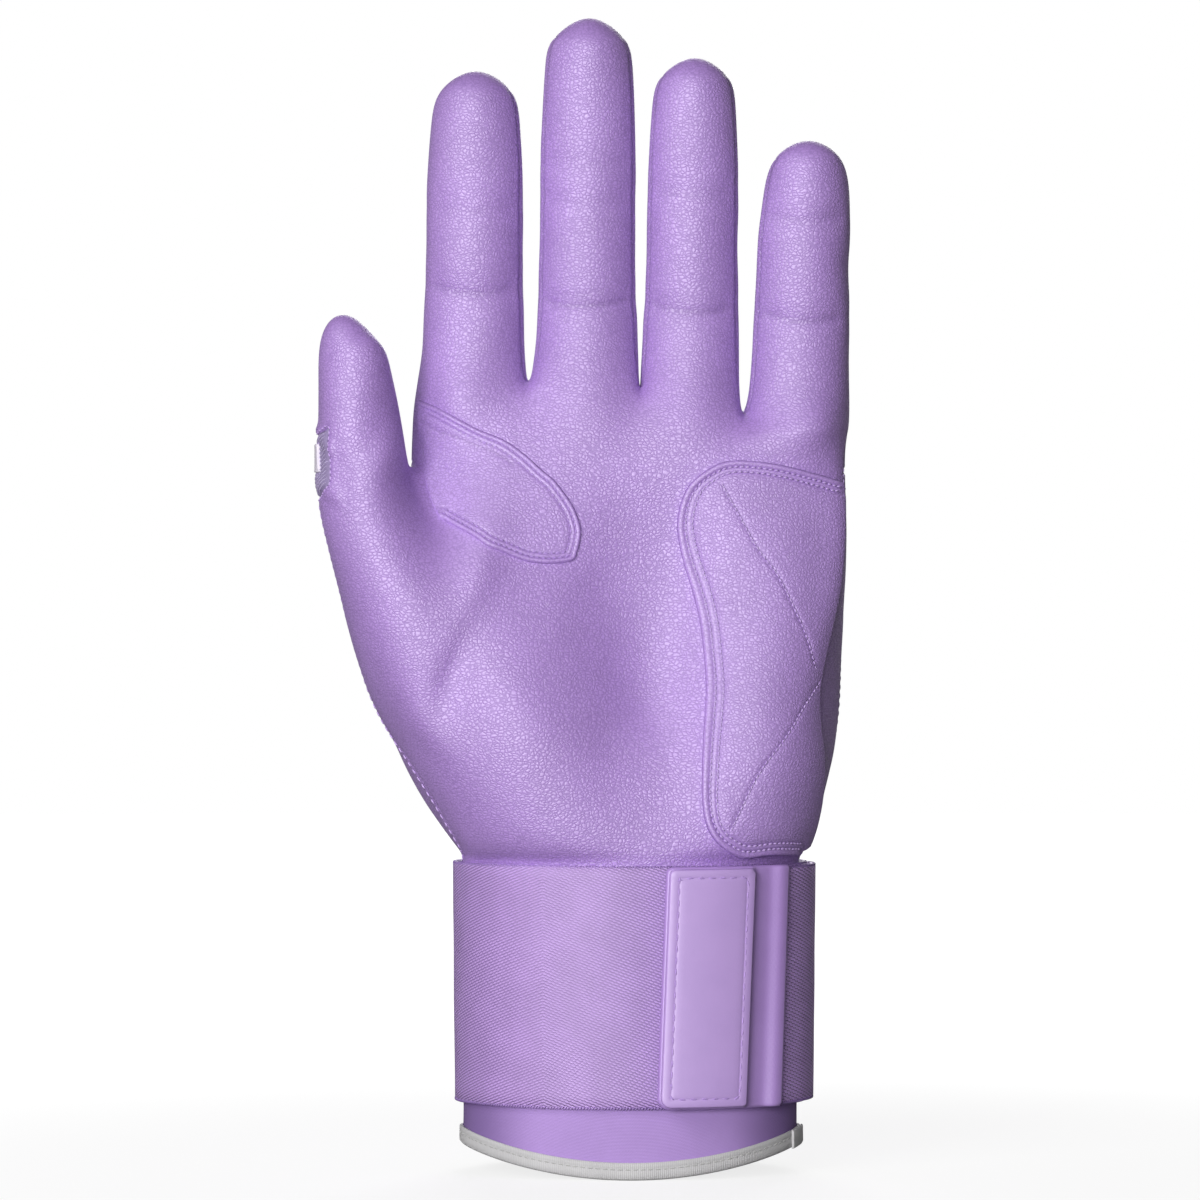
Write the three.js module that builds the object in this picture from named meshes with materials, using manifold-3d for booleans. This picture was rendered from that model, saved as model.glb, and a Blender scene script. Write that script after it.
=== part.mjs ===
// A left-hand batting glove with a long cuff and a hook-and-loop wrist strap.
// Millimetres. +Z points from the cuff to the fingertips, the palm faces -Y and the thumb is
// on the -X side. The origin is the middle of the wrist opening, level with the lowest point
// of the cuff's bound edge. The glove keeps the shape of the hand that wears it.
//
// The hand is drawn as a coarse net of points that lie on the outside of the leather. The net
// is smoothed into a curved skin by Catmull-Clark subdivision. Each cut piece of leather or
// stretch fabric is a patch of that skin with its own thickness, sewn edge to edge with its
// neighbours, and the reinforcements lie on the skin.
import * as THREE from "three";
import { mergeVertices } from "three/addons/utils/BufferGeometryUtils.js";
import Module from "manifold-3d";

const wasm = await Module();
wasm.setup();

// Overall sizes
const cuffHeight = 66.5; // from the cuff's lowest edge to the top of the wrist band
const palmLength = 99; // from the top of the wrist band to the finger roots
const palmWidth = 93.4; // across the finger roots
const palmDepth = 27; // of the palm at the finger roots, front to back
const wristHalfWidth = 36.5; // to the outside of the cuff
const wristHalfDepth = 25.5;
const fingerFlex = 6; // how far the fingertips come forward of their roots
const fingerLengths = { index: 72.6, middle: 82.4, ring: 76, little: 62 };
const thumbLength = 60; // from the middle of the thumb's root to its tip
const thumbReach = 60; // from the wrist axis to the line of the thumb
const thumbDepth = 21; // of the thumb at its knuckle, front to back

// Thicknesses and clearances
const leatherThickness = 1.0;
const stretchThickness = 0.8; // of the ribbed inserts and the finger side strips
const overlayThickness = 1.1; // of the heel pad and the thumb web patch
const seamGap = 0.3; // between two sewn edges
const layGap = 0.3; // between two layers that lie on each other

// The cuff, and the bands that go round it. Heights out from the wrist's oval are stacked
// one on the other, from the sleeve to the pull patch.
const sleeveWall = 1.3;
const sleeveLap = 10; // how far the leather reaches down over the sleeve's top
const sleeveTop = 3; // from the sleeve's top edge to the top of the band
const sleeveStep = 3.5; // height in which the sleeve draws in under the leather
const sleeveInset = 0.5; // of the sleeve's outside from the leather's
const sleeveEase = 0.7; // between the sleeve and the leather that laps it
const hemBow = 5.9; // how much higher the cuff's edge is at the sides
const binding = { height: 3.7, thickness: 0.8 };
const cuffShowing = 15.2; // of the cuff, below the band
const band = { height: cuffHeight - cuffShowing, thickness: 1.5, taper: 0.5 };
const strapThickness = 1.5;
const strapInset = 0.5; // of the strap's edges from the band's
const pile = { thickness: 0.6, inset: 3 }; // the hook patch and the loop patch
const tab = { thickness: 1.0, lean: 1.8, corner: 4, overlap: 3 };
const rubber = { thickness: 1.3, width: 17, inset: 0.5, corner: 3.4 };
const tag = { width: 9, height: 6.4, thickness: 0.6, upShare: 0.5, forwardShare: 0.8 };
const layerAt = {};
layerAt.band = layGap;
layerAt.loop = layerAt.band + band.thickness + layGap;
layerAt.strap = layerAt.loop;
layerAt.hook = layerAt.loop + pile.thickness + layGap;
layerAt.tab = Math.max(layerAt.hook + pile.thickness, layerAt.strap + strapThickness) + layGap;
layerAt.rubber = layerAt.tab + tab.thickness + layGap;

// Places round the wrist, seen from the cuff's axis, in turns from the +X side. The palm is
// at -0.25 and the back of the hand at 0.25.
const anchorShare = 0.17; // where the strap is sewn to the band
const tabSeamShare = -0.0944; // where the tab's leather is sewn to the elastic
const tabTipShare = -0.2195;

const ringSegments = 60;
const strapSteps = 14;
const tabSteps = 9;
const smoothingPasses = 10;
const netMargin = 9; // how far the net is kept round a reinforcement before it is cut
const quarter = Math.PI / 2;

// The heel pad and the web patch. Their left and bottom edges are placed by shares of the
// palm's width and length, and their outlines are in shares of the box that holds them.
const heelPad = {
  width: 40,
  height: 83.5,
  leftShare: 0.106,
  bottomShare: 0.0152,
  outlineShares: [
    [1, 0.934], [0.894, 0.944], [0.735, 0.967], [0.55, 0.99], [0.376, 1], [0.254, 0.997],
    [0.159, 0.977], [0.069, 0.942], [0.021, 0.896], [0, 0.843], [0.011, 0.792], [0.037, 0.739],
    [0.085, 0.665], [0.122, 0.591], [0.143, 0.508], [0.153, 0.434], [0.148, 0.36], [0.138, 0.284],
    [0.132, 0.211], [0.132, 0.137], [0.153, 0.076], [0.206, 0.033], [0.286, 0.008], [0.349, 0],
    [1, 0],
  ],
};
const webPatch = {
  width: 37,
  height: 36.6,
  leftShare: -0.5086,
  bottomShare: 0.6394,
  outlineShares: [
    [0.06, 0.975], [0.179, 0.93], [0.295, 0.865], [0.416, 0.801], [0.543, 0.749], [0.618, 0.702],
    [0.699, 0.637], [0.775, 0.567], [0.844, 0.509], [0.908, 0.427], [0.954, 0.357], [0.983, 0.287],
    [1, 0.216], [0.994, 0.152], [0.977, 0.082], [0.942, 0.029], [0.821, 0], [0.699, 0.012],
    [0.624, 0.035], [0.543, 0.07], [0.457, 0.105], [0.382, 0.164], [0.277, 0.222], [0.185, 0.269],
    [0.12, 0.363], [0.09, 0.509], [0.06, 0.684],
  ],
};

// The skin's net. A face has four corners, and each corner names the piece that the quarter
// of the face at that corner belongs to.
const netPoints = [];
const netFaces = [];
function addPoint(x, y, z) {
  netPoints.push(new THREE.Vector3(x, y, z));
  return netPoints.length - 1;
}
function addFace(corners, pieces) {
  netFaces.push({ corners, pieces: typeof pieces === "string" ? corners.map(() => pieces) : pieces });
}

// Levels of the palm from the wrist up: heights as shares of the palm's length above the
// band, sides as shares of its width, front and back as shares of its depth. The turns bring
// the side seams round to the front. The two lowest levels follow the wrist's oval.
const palmLevelShares = [
  { up: -sleeveLap / palmLength, atWrist: true, leftTurn: 0.1, rightTurn: 0.1, square: 2 },
  { up: 0, atWrist: true, leftTurn: 0.22, rightTurn: 0.12, square: 2 },
  { up: 0.055, left: 0.427, right: 0.422, front: 0.965, back: 0.92, leftTurn: 0.36, rightTurn: 0.16, square: 2.1 },
  { up: 0.215, left: 0.536, right: 0.473, front: 0.93, back: 0.82, leftTurn: 0.38, rightTurn: 0.36, square: 2.2 },
  { up: 0.375, left: 0.607, right: 0.49, front: 0.82, back: 0.74, leftTurn: 0.3, rightTurn: 0.48, square: 2.2 },
  { up: 0.61, left: 0.56, right: 0.505, front: 0.66, back: 0.68, leftTurn: 0.1, rightTurn: 0.3, square: 2.4 },
  { up: 0.85, left: 0.507, right: 0.5, front: 0.52, back: 0.6, leftTurn: 0.05, rightTurn: 0.18, square: 2.5 },
];

// Swellings and hollows: places and spreads as shares of the palm's width and length, and
// the rise as a share of its depth
const palmFormShares = [
  { across: -0.38, up: 0.48, wide: 0.2, tall: 0.3, rise: 0.3 }, // ball of the thumb
  { across: -0.2, up: 0.22, wide: 0.24, tall: 0.26, rise: 0.13 }, // its lower end
  { across: 0.32, up: 0.28, wide: 0.17, tall: 0.32, rise: 0.15 }, // heel of the hand
  { across: 0.05, up: 0.46, wide: 0.15, tall: 0.3, rise: -0.25 }, // hollow
  { across: 0.05, up: 0.93, wide: 0.7, tall: 0.1, rise: 0.05 }, // pads below the fingers
];
const backFormShares = [
  { across: -0.06, up: 0.93, wide: 0.5, tall: 0.12, rise: 0.06 }, // knuckles
  { across: 0, up: 0.1, wide: 0.4, tall: 0.13, rise: -0.05 }, // dip above the wrist
];

// Fingers: middle of the root, middle of the tip and width as shares of the palm's width,
// height of the root as a share of the palm's length, and the creases as shares of the
// straight part of the finger
const fingerShares = [
  { name: "index", root: -0.363, tip: -0.355, width: 0.2225, rootUp: 0.985, creases: [0.4, 0.76] },
  { name: "middle", root: -0.101, tip: -0.094, width: 0.22, rootUp: 1.0, creases: [0.34, 0.725] },
  { name: "ring", root: 0.138, tip: 0.149, width: 0.21, rootUp: 0.98, creases: [0.39, 0.745] },
  { name: "little", root: 0.387, tip: 0.411, width: 0.214, rootUp: 0.94, creases: [0.49, 0.83] },
];
const webShares = [
  { across: -0.232, up: 1.05 },
  { across: 0.0215, up: 1.037 },
  { across: 0.257, up: 0.986 },
];
const fingerRingShares = { width: [1.075, 1.03, 1.0, 1.0, 0.925], depth: [1.0, 0.93, 0.95, 0.89, 0.85] };
const firstRingShare = 0.19; // of the straight part, just above the web
const tipStartShare = 0.6; // of the finger's width, below the tip
const tipRing = { downShare: 0.215, widthShare: 0.72, depthShare: 0.66 };
const webDropShare = 0.16; // of the finger's width, from a web to its front and back points
const cornerAngles = { front: 0.84, side: 1.62, back: 2.4 };
const rootFrontShare = 0.455; // of the palm's depth, the front of the finger roots
const rootBackShare = 0.535;

// The thumb's rings: the outer and inner points as shares of its reach and of its length,
// and the middle and half depth of the ring as shares of its depth
const thumbRingShares = [
  { outer: [1.058, 0.127], inner: [0.795, 0.527], forward: 0.7, deep: 0.59 },
  { outer: [1.108, 0.36], inner: [0.819, 0.66], forward: 0.762, deep: 0.524 },
  { outer: [1.108, 0.577], inner: [0.84, 0.768], forward: 0.833, deep: 0.462 },
  { outer: [1.105, 0.76], inner: [0.868, 0.868], forward: 0.88, deep: 0.39 },
  { outer: [1.095, 0.915], inner: [0.922, 0.925], forward: 0.905, deep: 0.257 },
];
const thumbTipShares = { outward: 1.02, upward: 0.995, forward: 0.9 };
const thumbRootShare = 0.57; // height of the thumb's root on the palm

// The eight points where the thumb leaves the palm: places as shares of the palm's width,
// depth and length
const thumbHoleShares = {
  lowSide: [-0.605, -0.22, 0.375],
  lowFront: [-0.512, -0.92, 0.375],
  middleFront: [-0.455, -0.97, 0.6],
  highFront: [-0.462, -0.37, 0.84],
  highSide: [-0.505, -0.09, 0.866],
  highBack: [-0.482, 0.24, 0.84],
  middleBack: [-0.525, 0.28, 0.63],
  lowBack: [-0.535, 0.33, 0.375],
  besideMiddle: [-0.35, -0.93, 0.6], // next to the hole, on the ball of the thumb
};

const palmColumns = 2 * fingerShares.length + 1;
const wristHeight = cuffHeight;
const upAt = (share) => wristHeight + share * palmLength;

function swell(forms, x, z) {
  return forms.reduce((sum, form) => {
    const across = (x - form.across * palmWidth) / (form.wide * palmWidth);
    const along = (z - upAt(form.up)) / (form.tall * palmLength);
    return sum + form.rise * palmDepth * Math.exp(-across * across - along * along);
  }, 0);
}

// A level's real sizes
function levelSizes(level) {
  if (level.atWrist) {
    return { left: wristHalfWidth, right: wristHalfWidth, front: wristHalfDepth, back: wristHalfDepth };
  }
  return {
    left: level.left * palmWidth,
    right: level.right * palmWidth,
    front: level.front * palmDepth,
    back: level.back * palmDepth,
  };
}

// A point of the level's squared oval. Angle 0 is the +X side and negative angles the palm.
function onOval(level, angle) {
  const size = levelSizes(level);
  const power = 2 / level.square;
  const across = Math.cos(angle);
  const deep = Math.sin(angle);
  const middle = (size.right - size.left) / 2;
  const half = (size.right + size.left) / 2;
  const depth = deep < 0 ? size.front : size.back;
  return [
    middle + half * Math.sign(across) * Math.abs(across) ** power,
    depth * Math.sign(deep) * Math.abs(deep) ** power,
  ];
}
function angleAcross(level, x) {
  const size = levelSizes(level);
  const middle = (size.right - size.left) / 2;
  const half = (size.right + size.left) / 2;
  const share = THREE.MathUtils.clamp((x - middle) / half, -1, 1);
  return Math.acos(Math.sign(share) * Math.abs(share) ** (level.square / 2));
}

// Places of the columns at the finger roots: finger corners, finger middles and webs
const rootColumns = [];
fingerShares.forEach((finger, i) => {
  const half = (finger.width * palmWidth) / 2;
  if (i === 0) rootColumns.push(finger.root * palmWidth - half * Math.sin(cornerAngles.front));
  rootColumns.push(finger.root * palmWidth);
  const last = i === fingerShares.length - 1;
  const side = finger.root * palmWidth + half * Math.sin(cornerAngles.front);
  rootColumns.push(last ? side : webShares[i].across * palmWidth);
});

const topLevel = palmLevelShares[palmLevelShares.length - 1];
const palmRings = palmLevelShares.map((level, row) => {
  const height = upAt(level.up);
  const rooted = row / (palmLevelShares.length - 1);
  const even = Math.PI / (palmColumns + 1);
  const front = [];
  const back = [];
  for (let j = 0; j < palmColumns; j++) {
    const spread = Math.PI - (j + 1) * even;
    const angle = THREE.MathUtils.lerp(spread, angleAcross(topLevel, rootColumns[j]), rooted ** 1.5);
    const toLeft = (1 - j / (palmColumns - 1)) ** 2;
    const toRight = (j / (palmColumns - 1)) ** 2;
    const frontAngle = angle - 0.7 * level.leftTurn * toLeft + 0.7 * level.rightTurn * toRight;
    const backAngle = angle + 0.5 * level.leftTurn * toLeft - 0.5 * level.rightTurn * toRight;
    const [fx, fy] = onOval(level, -frontAngle);
    const [bx, by] = onOval(level, backAngle);
    const free = level.atWrist ? 0 : 1;
    front.push(addPoint(fx, fy - free * swell(palmFormShares, fx, height), height));
    back.push(addPoint(bx, by + free * swell(backFormShares, bx, height), height));
  }
  const [rx, ry] = onOval(level, -level.rightTurn);
  const [lx, ly] = onOval(level, -Math.PI + level.leftTurn);
  const right = addPoint(rx, ry, height);
  const left = addPoint(lx, ly, height);
  return { front, back, right, left };
});

// The thumb's hole gets its own places
function moveTo(n, [across, deep, up]) {
  netPoints[n].set(across * palmWidth, deep * palmDepth, upAt(up));
}
const holeRows = palmRings.slice(-3);
moveTo(holeRows[0].left, thumbHoleShares.lowSide);
moveTo(holeRows[0].front[0], thumbHoleShares.lowFront);
moveTo(holeRows[0].back[0], thumbHoleShares.lowBack);
moveTo(holeRows[1].front[0], thumbHoleShares.middleFront);
moveTo(holeRows[1].back[0], thumbHoleShares.middleBack);
moveTo(holeRows[1].front[1], thumbHoleShares.besideMiddle);
moveTo(holeRows[2].front[0], thumbHoleShares.highFront);
moveTo(holeRows[2].left, thumbHoleShares.highSide);
moveTo(holeRows[2].back[0], thumbHoleShares.highBack);

// The finger roots. The web points between two fingers belong to both fingers' first rings.
const webDrop = webDropShare * fingerShares[0].width * palmWidth;
const edgeInset = { front: webDrop, back: 1.7 * webDrop };
const rootRing = { front: [], back: [] };
rootColumns.forEach((x, j) => {
  const between = j % 2 === 0 && j > 0 && j < palmColumns - 1;
  const finger = fingerShares[Math.min(Math.floor(j / 2), fingerShares.length - 1)];
  const height = between ? upAt(webShares[j / 2 - 1].up) - webDrop : upAt(finger.rootUp);
  const edge = j === 0 || j === palmColumns - 1;
  const inset = between ? webDrop : edge ? edgeInset : { front: 0, back: 0 };
  rootRing.front.push(addPoint(x, -rootFrontShare * palmDepth + (inset.front ?? inset), height));
  rootRing.back.push(addPoint(x, rootBackShare * palmDepth - (inset.back ?? inset), height));
});
const firstFinger = fingerShares[0];
const lastFinger = fingerShares[fingerShares.length - 1];
rootRing.left = addPoint(-0.5 * palmWidth, 0, upAt(firstFinger.rootUp));
rootRing.right = addPoint(0.505 * palmWidth, 0, upAt(lastFinger.rootUp));
const webPoints = webShares.map((web) => addPoint(web.across * palmWidth, 0.02 * palmDepth, upAt(web.up)));

const ringOrder = (ring) => [...ring.front, ring.right, ...[...ring.back].reverse(), ring.left];

// The faces between two rings of the palm. The thumb leaves the palm through a hole.
const thumbRows = [palmLevelShares.length - 3, palmLevelShares.length - 2];
const sideFace = palmColumns; // the face behind the right-hand seam
const isBack = (k) => k > palmColumns && k < 2 * palmColumns;
const backName = (finger) => `${finger}_back`;
const fingerBehind = (k) => {
  const place = Math.floor((2 * palmColumns - 1 - k) / 2);
  return fingerShares[THREE.MathUtils.clamp(place, 0, fingerShares.length - 1)].name;
};
[...palmRings, rootRing].slice(0, -1).forEach((ring, row) => {
  const low = ringOrder(ring);
  const high = ringOrder(row + 1 < palmRings.length ? palmRings[row + 1] : rootRing);
  const count = low.length;
  for (let k = 0; k < count; k++) {
    if (thumbRows.includes(row) && k >= count - 2) continue;
    const next = (k + 1) % count;
    const corners = [low[k], low[next], high[next], high[k]];
    const top = row === palmRings.length - 1;
    if (k === sideFace && !top) addFace(corners, "side_panel");
    else if (k < palmColumns || k === count - 1) addFace(corners, "palm_leather");
    else if (top) addFace(corners, backName(fingerBehind(k)));
    else if (row === palmRings.length - 2 && isBack(k)) {
      addFace(corners, ["back_leather", "back_leather", "knuckle_flex", "knuckle_flex"]);
    } else addFace(corners, "back_leather");
  }
});

function joinRings(low, high, pieceAt) {
  low.forEach((_, k) => {
    const next = (k + 1) % low.length;
    addFace([low[k], low[next], high[next], high[k]], pieceAt(k));
  });
}

// The strip between two fingers runs down the side of one and up the side of the next
const stripName = (i) => `fourchette_${fingerShares[i].name}_${fingerShares[i + 1].name}`;

// The fingers: rings of eight points, from the front left corner round to the left side
fingerShares.forEach((finger, i) => {
  const width = finger.width * palmWidth;
  const base = upAt(finger.rootUp);
  const tipHeight = base + fingerLengths[finger.name];
  const straight = tipHeight - tipStartShare * width - base;
  const [firstCrease, secondCrease] = finger.creases;
  const along = [firstRingShare, firstCrease, (firstCrease + secondCrease) / 2, secondCrease, 1];
  const leftSide = i === 0 ? rootRing.left : webPoints[i - 1];
  const rightSide = i === fingerShares.length - 1 ? rootRing.right : webPoints[i];
  const centreAt = (height) => {
    const share = (height - base) / (tipHeight - base);
    return new THREE.Vector3(
      palmWidth * THREE.MathUtils.lerp(finger.root, finger.tip, share),
      0.03 * palmDepth - fingerFlex * share ** 1.6,
      height,
    );
  };
  const ringAt = (height, halfWidth, halfDepth) => {
    const centre = centreAt(height);
    const { front, side, back } = cornerAngles;
    const angles = [-front, 0, front, side, back, Math.PI, -back, -side];
    return angles.map((angle) =>
      addPoint(centre.x + halfWidth * Math.sin(angle), centre.y - halfDepth * Math.cos(angle), height),
    );
  };
  const rings = [
    [
      rootRing.front[2 * i],
      rootRing.front[2 * i + 1],
      rootRing.front[2 * i + 2],
      rightSide,
      rootRing.back[2 * i + 2],
      rootRing.back[2 * i + 1],
      rootRing.back[2 * i],
      leftSide,
    ],
  ];
  along.forEach((share, r) => {
    const halfWidth = (fingerRingShares.width[r] * width) / 2;
    rings.push(ringAt(base + share * straight, halfWidth, (fingerRingShares.depth[r] * width) / 2));
  });
  rings.push(
    ringAt(
      tipHeight - tipRing.downShare * width,
      (tipRing.widthShare * width) / 2,
      (tipRing.depthShare * width) / 2,
    ),
  );
  const rightPiece = i === fingerShares.length - 1 ? null : stripName(i);
  const leftPiece = i === 0 ? null : stripName(i - 1);
  const backPiece = backName(finger.name);
  const pieceAt = (k) => {
    const right = rightPiece ?? (k === 2 ? "palm_leather" : backPiece);
    const left = leftPiece ?? (k === 7 ? "palm_leather" : backPiece);
    if (k === 2) return ["palm_leather", right, right, "palm_leather"];
    if (k === 3) return [right, backPiece, backPiece, right];
    if (k === 6) return [backPiece, left, left, backPiece];
    if (k === 7) return [left, "palm_leather", "palm_leather", left];
    return k < 2 ? "palm_leather" : backPiece;
  };
  for (let r = 1; r < rings.length; r++) joinRings(rings[r - 1], rings[r], pieceAt);
  const last = rings[rings.length - 1];
  const tipCentre = centreAt(tipHeight);
  const tip = addPoint(tipCentre.x, tipCentre.y, tipHeight);
  [1, 3, 5, 7].forEach((k) => {
    const piece = k === 1 || k === 7 ? "palm_leather" : backPiece;
    addFace([last[k], last[(k + 1) % 8], last[(k + 2) % 8], tip], piece);
  });
});

// The thumb: rings of eight points from the outer side round the front to the inner side
{
  const [low, middle] = thumbRows;
  const a = palmRings[low];
  const b = palmRings[middle];
  const c = palmRings[middle + 1];
  const rings = [[a.left, a.front[0], b.front[0], c.front[0], c.left, c.back[0], b.back[0], a.back[0]]];
  const thumbPlace = (share) => [-share[0] * thumbReach, upAt(thumbRootShare) + share[1] * thumbLength];
  thumbRingShares.forEach((ring) => {
    const [outerX, outerZ] = thumbPlace(ring.outer);
    const [innerX, innerZ] = thumbPlace(ring.inner);
    rings.push(
      rings[0].map((_, k) => {
        const angle = (k * Math.PI) / 4;
        const toOuter = (1 + Math.cos(angle)) / 2;
        return addPoint(
          THREE.MathUtils.lerp(innerX, outerX, toOuter),
          -thumbDepth * (ring.forward + ring.deep * Math.sin(angle)),
          THREE.MathUtils.lerp(innerZ, outerZ, toOuter),
        );
      }),
    );
  });
  for (let r = 1; r < rings.length; r++) {
    const backPiece = r < 3 ? "back_leather" : r === 3 ? "thumb_flex" : "thumb_back";
    joinRings(rings[r - 1], rings[r], (k) => {
      if (k === 0) return r === 3 ? "thumb_flex" : "palm_leather";
      if (k === 4) return ["palm_leather", backPiece, backPiece, "palm_leather"];
      return k < 4 ? "palm_leather" : backPiece;
    });
  }
  const last = rings[rings.length - 1];
  const [tipX, tipZ] = thumbPlace([thumbTipShares.outward, thumbTipShares.upward]);
  const tip = addPoint(tipX, -thumbTipShares.forward * thumbDepth, tipZ);
  [0, 2, 4, 6].forEach((k) => {
    addFace([last[k], last[k + 1], last[(k + 2) % 8], tip], k < 4 ? "palm_leather" : "thumb_back");
  });
}

// Which faces and edges meet at each point of a mesh of four-sided faces
function neighbours(mesh) {
  const around = mesh.points.map(() => ({ faces: [], edges: new Set(), border: [] }));
  const edges = new Map();
  mesh.faces.forEach((face, f) => {
    face.corners.forEach((from, c) => {
      const to = face.corners[(c + 1) % 4];
      const key = from < to ? `${from} ${to}` : `${to} ${from}`;
      if (!edges.has(key)) edges.set(key, { ends: [from, to], faces: [] });
      edges.get(key).faces.push(f);
      around[from].faces.push({ f, c });
      around[from].edges.add(to);
      around[to].edges.add(from);
    });
  });
  edges.forEach((edge) => {
    if (edge.faces.length > 1) return;
    around[edge.ends[0]].border.push(edge.ends[1]);
    around[edge.ends[1]].border.push(edge.ends[0]);
  });
  return { around, edges };
}

// Where a point of the net ends up on the smooth surface
function limitPoints(mesh, { around }) {
  return mesh.points.map((point, v) => {
    const near = around[v];
    const sum = new THREE.Vector3();
    if (near.border.length > 0) {
      near.border.forEach((n) => sum.add(mesh.points[n]));
      return sum.addScaledVector(point, 4).divideScalar(near.border.length + 4);
    }
    const count = near.faces.length;
    near.edges.forEach((n) => sum.addScaledVector(mesh.points[n], 4));
    near.faces.forEach(({ f, c }) => sum.add(mesh.points[mesh.faces[f].corners[(c + 2) % 4]]));
    return sum.addScaledVector(point, count * count).divideScalar(count * (count + 5));
  });
}

// One step of Catmull-Clark subdivision
function refine(mesh) {
  const { around, edges } = neighbours(mesh);
  const points = mesh.points.map(() => new THREE.Vector3());
  const facePoints = mesh.faces.map((face) => {
    const middle = new THREE.Vector3();
    face.corners.forEach((n) => middle.add(mesh.points[n]));
    points.push(middle.divideScalar(4));
    return points.length - 1;
  });
  const edgePoints = new Map();
  edges.forEach((edge, key) => {
    const point = new THREE.Vector3().addVectors(mesh.points[edge.ends[0]], mesh.points[edge.ends[1]]);
    if (edge.faces.length > 1) edge.faces.forEach((f) => point.add(points[facePoints[f]]));
    points.push(point.divideScalar(edge.faces.length > 1 ? 4 : 2));
    edgePoints.set(key, points.length - 1);
  });
  mesh.points.forEach((point, v) => {
    const near = around[v];
    const moved = points[v];
    if (near.border.length > 0) {
      near.border.forEach((n) => moved.add(mesh.points[n]));
      moved.addScaledVector(point, 6).divideScalar(8);
      return;
    }
    const count = near.faces.length;
    near.faces.forEach(({ f }) => moved.add(points[facePoints[f]]));
    near.edges.forEach((n) => moved.add(point).add(mesh.points[n]));
    moved.divideScalar(count).addScaledVector(point, count - 3).divideScalar(count);
  });
  const edgePoint = (a, b) => edgePoints.get(a < b ? `${a} ${b}` : `${b} ${a}`);
  const faces = [];
  mesh.faces.forEach((face, f) => {
    face.corners.forEach((corner, c) => {
      const next = face.corners[(c + 1) % 4];
      const before = face.corners[(c + 3) % 4];
      const corners = [corner, edgePoint(corner, next), facePoints[f], edgePoint(before, corner)];
      faces.push({ corners, pieces: corners.map(() => face.pieces[c]) });
    });
  });
  return { points, faces };
}

// The smooth skin passes through the net's points
const net = { points: netPoints.map((p) => p.clone()), faces: netFaces };
const netNear = neighbours(net);
for (let pass = 0; pass < smoothingPasses; pass++) {
  limitPoints(net, netNear).forEach((limit, v) => net.points[v].add(netPoints[v]).sub(limit));
}
const fine = refine(net);
const skinNear = neighbours(fine);
const skin = { faces: fine.faces, points: limitPoints(fine, skinNear) };
skin.normals = skin.points.map(() => new THREE.Vector3());
skin.faces.forEach((face) => {
  const [a, b, c, d] = face.corners.map((n) => skin.points[n]);
  const across = new THREE.Vector3().subVectors(c, a);
  const normal = across.cross(new THREE.Vector3().subVectors(d, b));
  face.corners.forEach((n) => skin.normals[n].add(normal));
  face.split = a.distanceTo(c) <= b.distanceTo(d);
});
skin.normals.forEach((normal) => normal.normalize());

const paint = (colour, roughness) => new THREE.MeshStandardMaterial({ color: colour, roughness, metalness: 0 });
const looks = {
  palm: paint(0xb496d4, 0.62),
  back: paint(0xc4addb, 0.6),
  ribbed: paint(0x8f7ba6, 0.85),
  elastic: paint(0x9a76c0, 0.8),
  sleeve: paint(0xa484cb, 0.7),
  tape: paint(0xc4c5c1, 0.75),
  rubber: paint(0xa98bd0, 0.45),
  pile: paint(0x8d6fb4, 0.95),
  tag: paint(0xf0f0f2, 0.5),
};

function geometryOf(points, triangles) {
  const geometry = new THREE.BufferGeometry();
  geometry.setAttribute("position", new THREE.Float32BufferAttribute(points.flatMap((p) => [p.x, p.y, p.z]), 3));
  geometry.setIndex(triangles);
  return geometry;
}

// A solid sheet on some faces of the skin, from one height above it to another. Its edges
// stand back from the seam by half the seam's gap.
function sheet(faces, bottom, top, setBack) {
  const edges = new Map();
  faces.forEach((face) => {
    face.corners.forEach((from, c) => edges.set(`${from} ${face.corners[(c + 1) % 4]}`, face));
  });
  const rim = [];
  edges.forEach((face, key) => {
    const [from, to] = key.split(" ").map(Number);
    if (!edges.has(`${to} ${from}`)) rim.push([from, to]);
  });
  const inward = new Map();
  rim.forEach(([from, to]) => {
    const along = new THREE.Vector3().subVectors(skin.points[to], skin.points[from]);
    [from, to].forEach((n) => {
      const side = new THREE.Vector3().crossVectors(skin.normals[n], along).normalize();
      if (!inward.has(n)) inward.set(n, []);
      inward.get(n).push(side);
    });
  });
  const slots = new Map();
  const points = [];
  const place = (n) => {
    if (slots.has(n)) return slots.get(n);
    const shift = new THREE.Vector3();
    const sides = inward.get(n) ?? [];
    if (sides.length > 1) {
      const turn = Math.max(1 + sides[0].dot(sides[1]), 0.4);
      shift.addVectors(sides[0], sides[1]).multiplyScalar(setBack / turn);
    }
    const ground = new THREE.Vector3().addVectors(skin.points[n], shift);
    points.push(ground.clone().addScaledVector(skin.normals[n], top));
    points.push(ground.clone().addScaledVector(skin.normals[n], bottom));
    slots.set(n, points.length - 2);
    return points.length - 2;
  };
  const triangles = [];
  faces.forEach((face) => {
    const [a, b, c, d] = face.corners.map(place);
    const pair = face.split ? [a, b, c, a, c, d] : [a, b, d, b, c, d];
    triangles.push(...pair);
    for (let t = 0; t < 6; t += 3) triangles.push(pair[t] + 1, pair[t + 2] + 1, pair[t + 1] + 1);
  });
  rim.forEach(([from, to]) => {
    const a = place(from);
    const b = place(to);
    triangles.push(a, a + 1, b, b, a + 1, b + 1);
  });
  return geometryOf(points, triangles);
}

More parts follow.
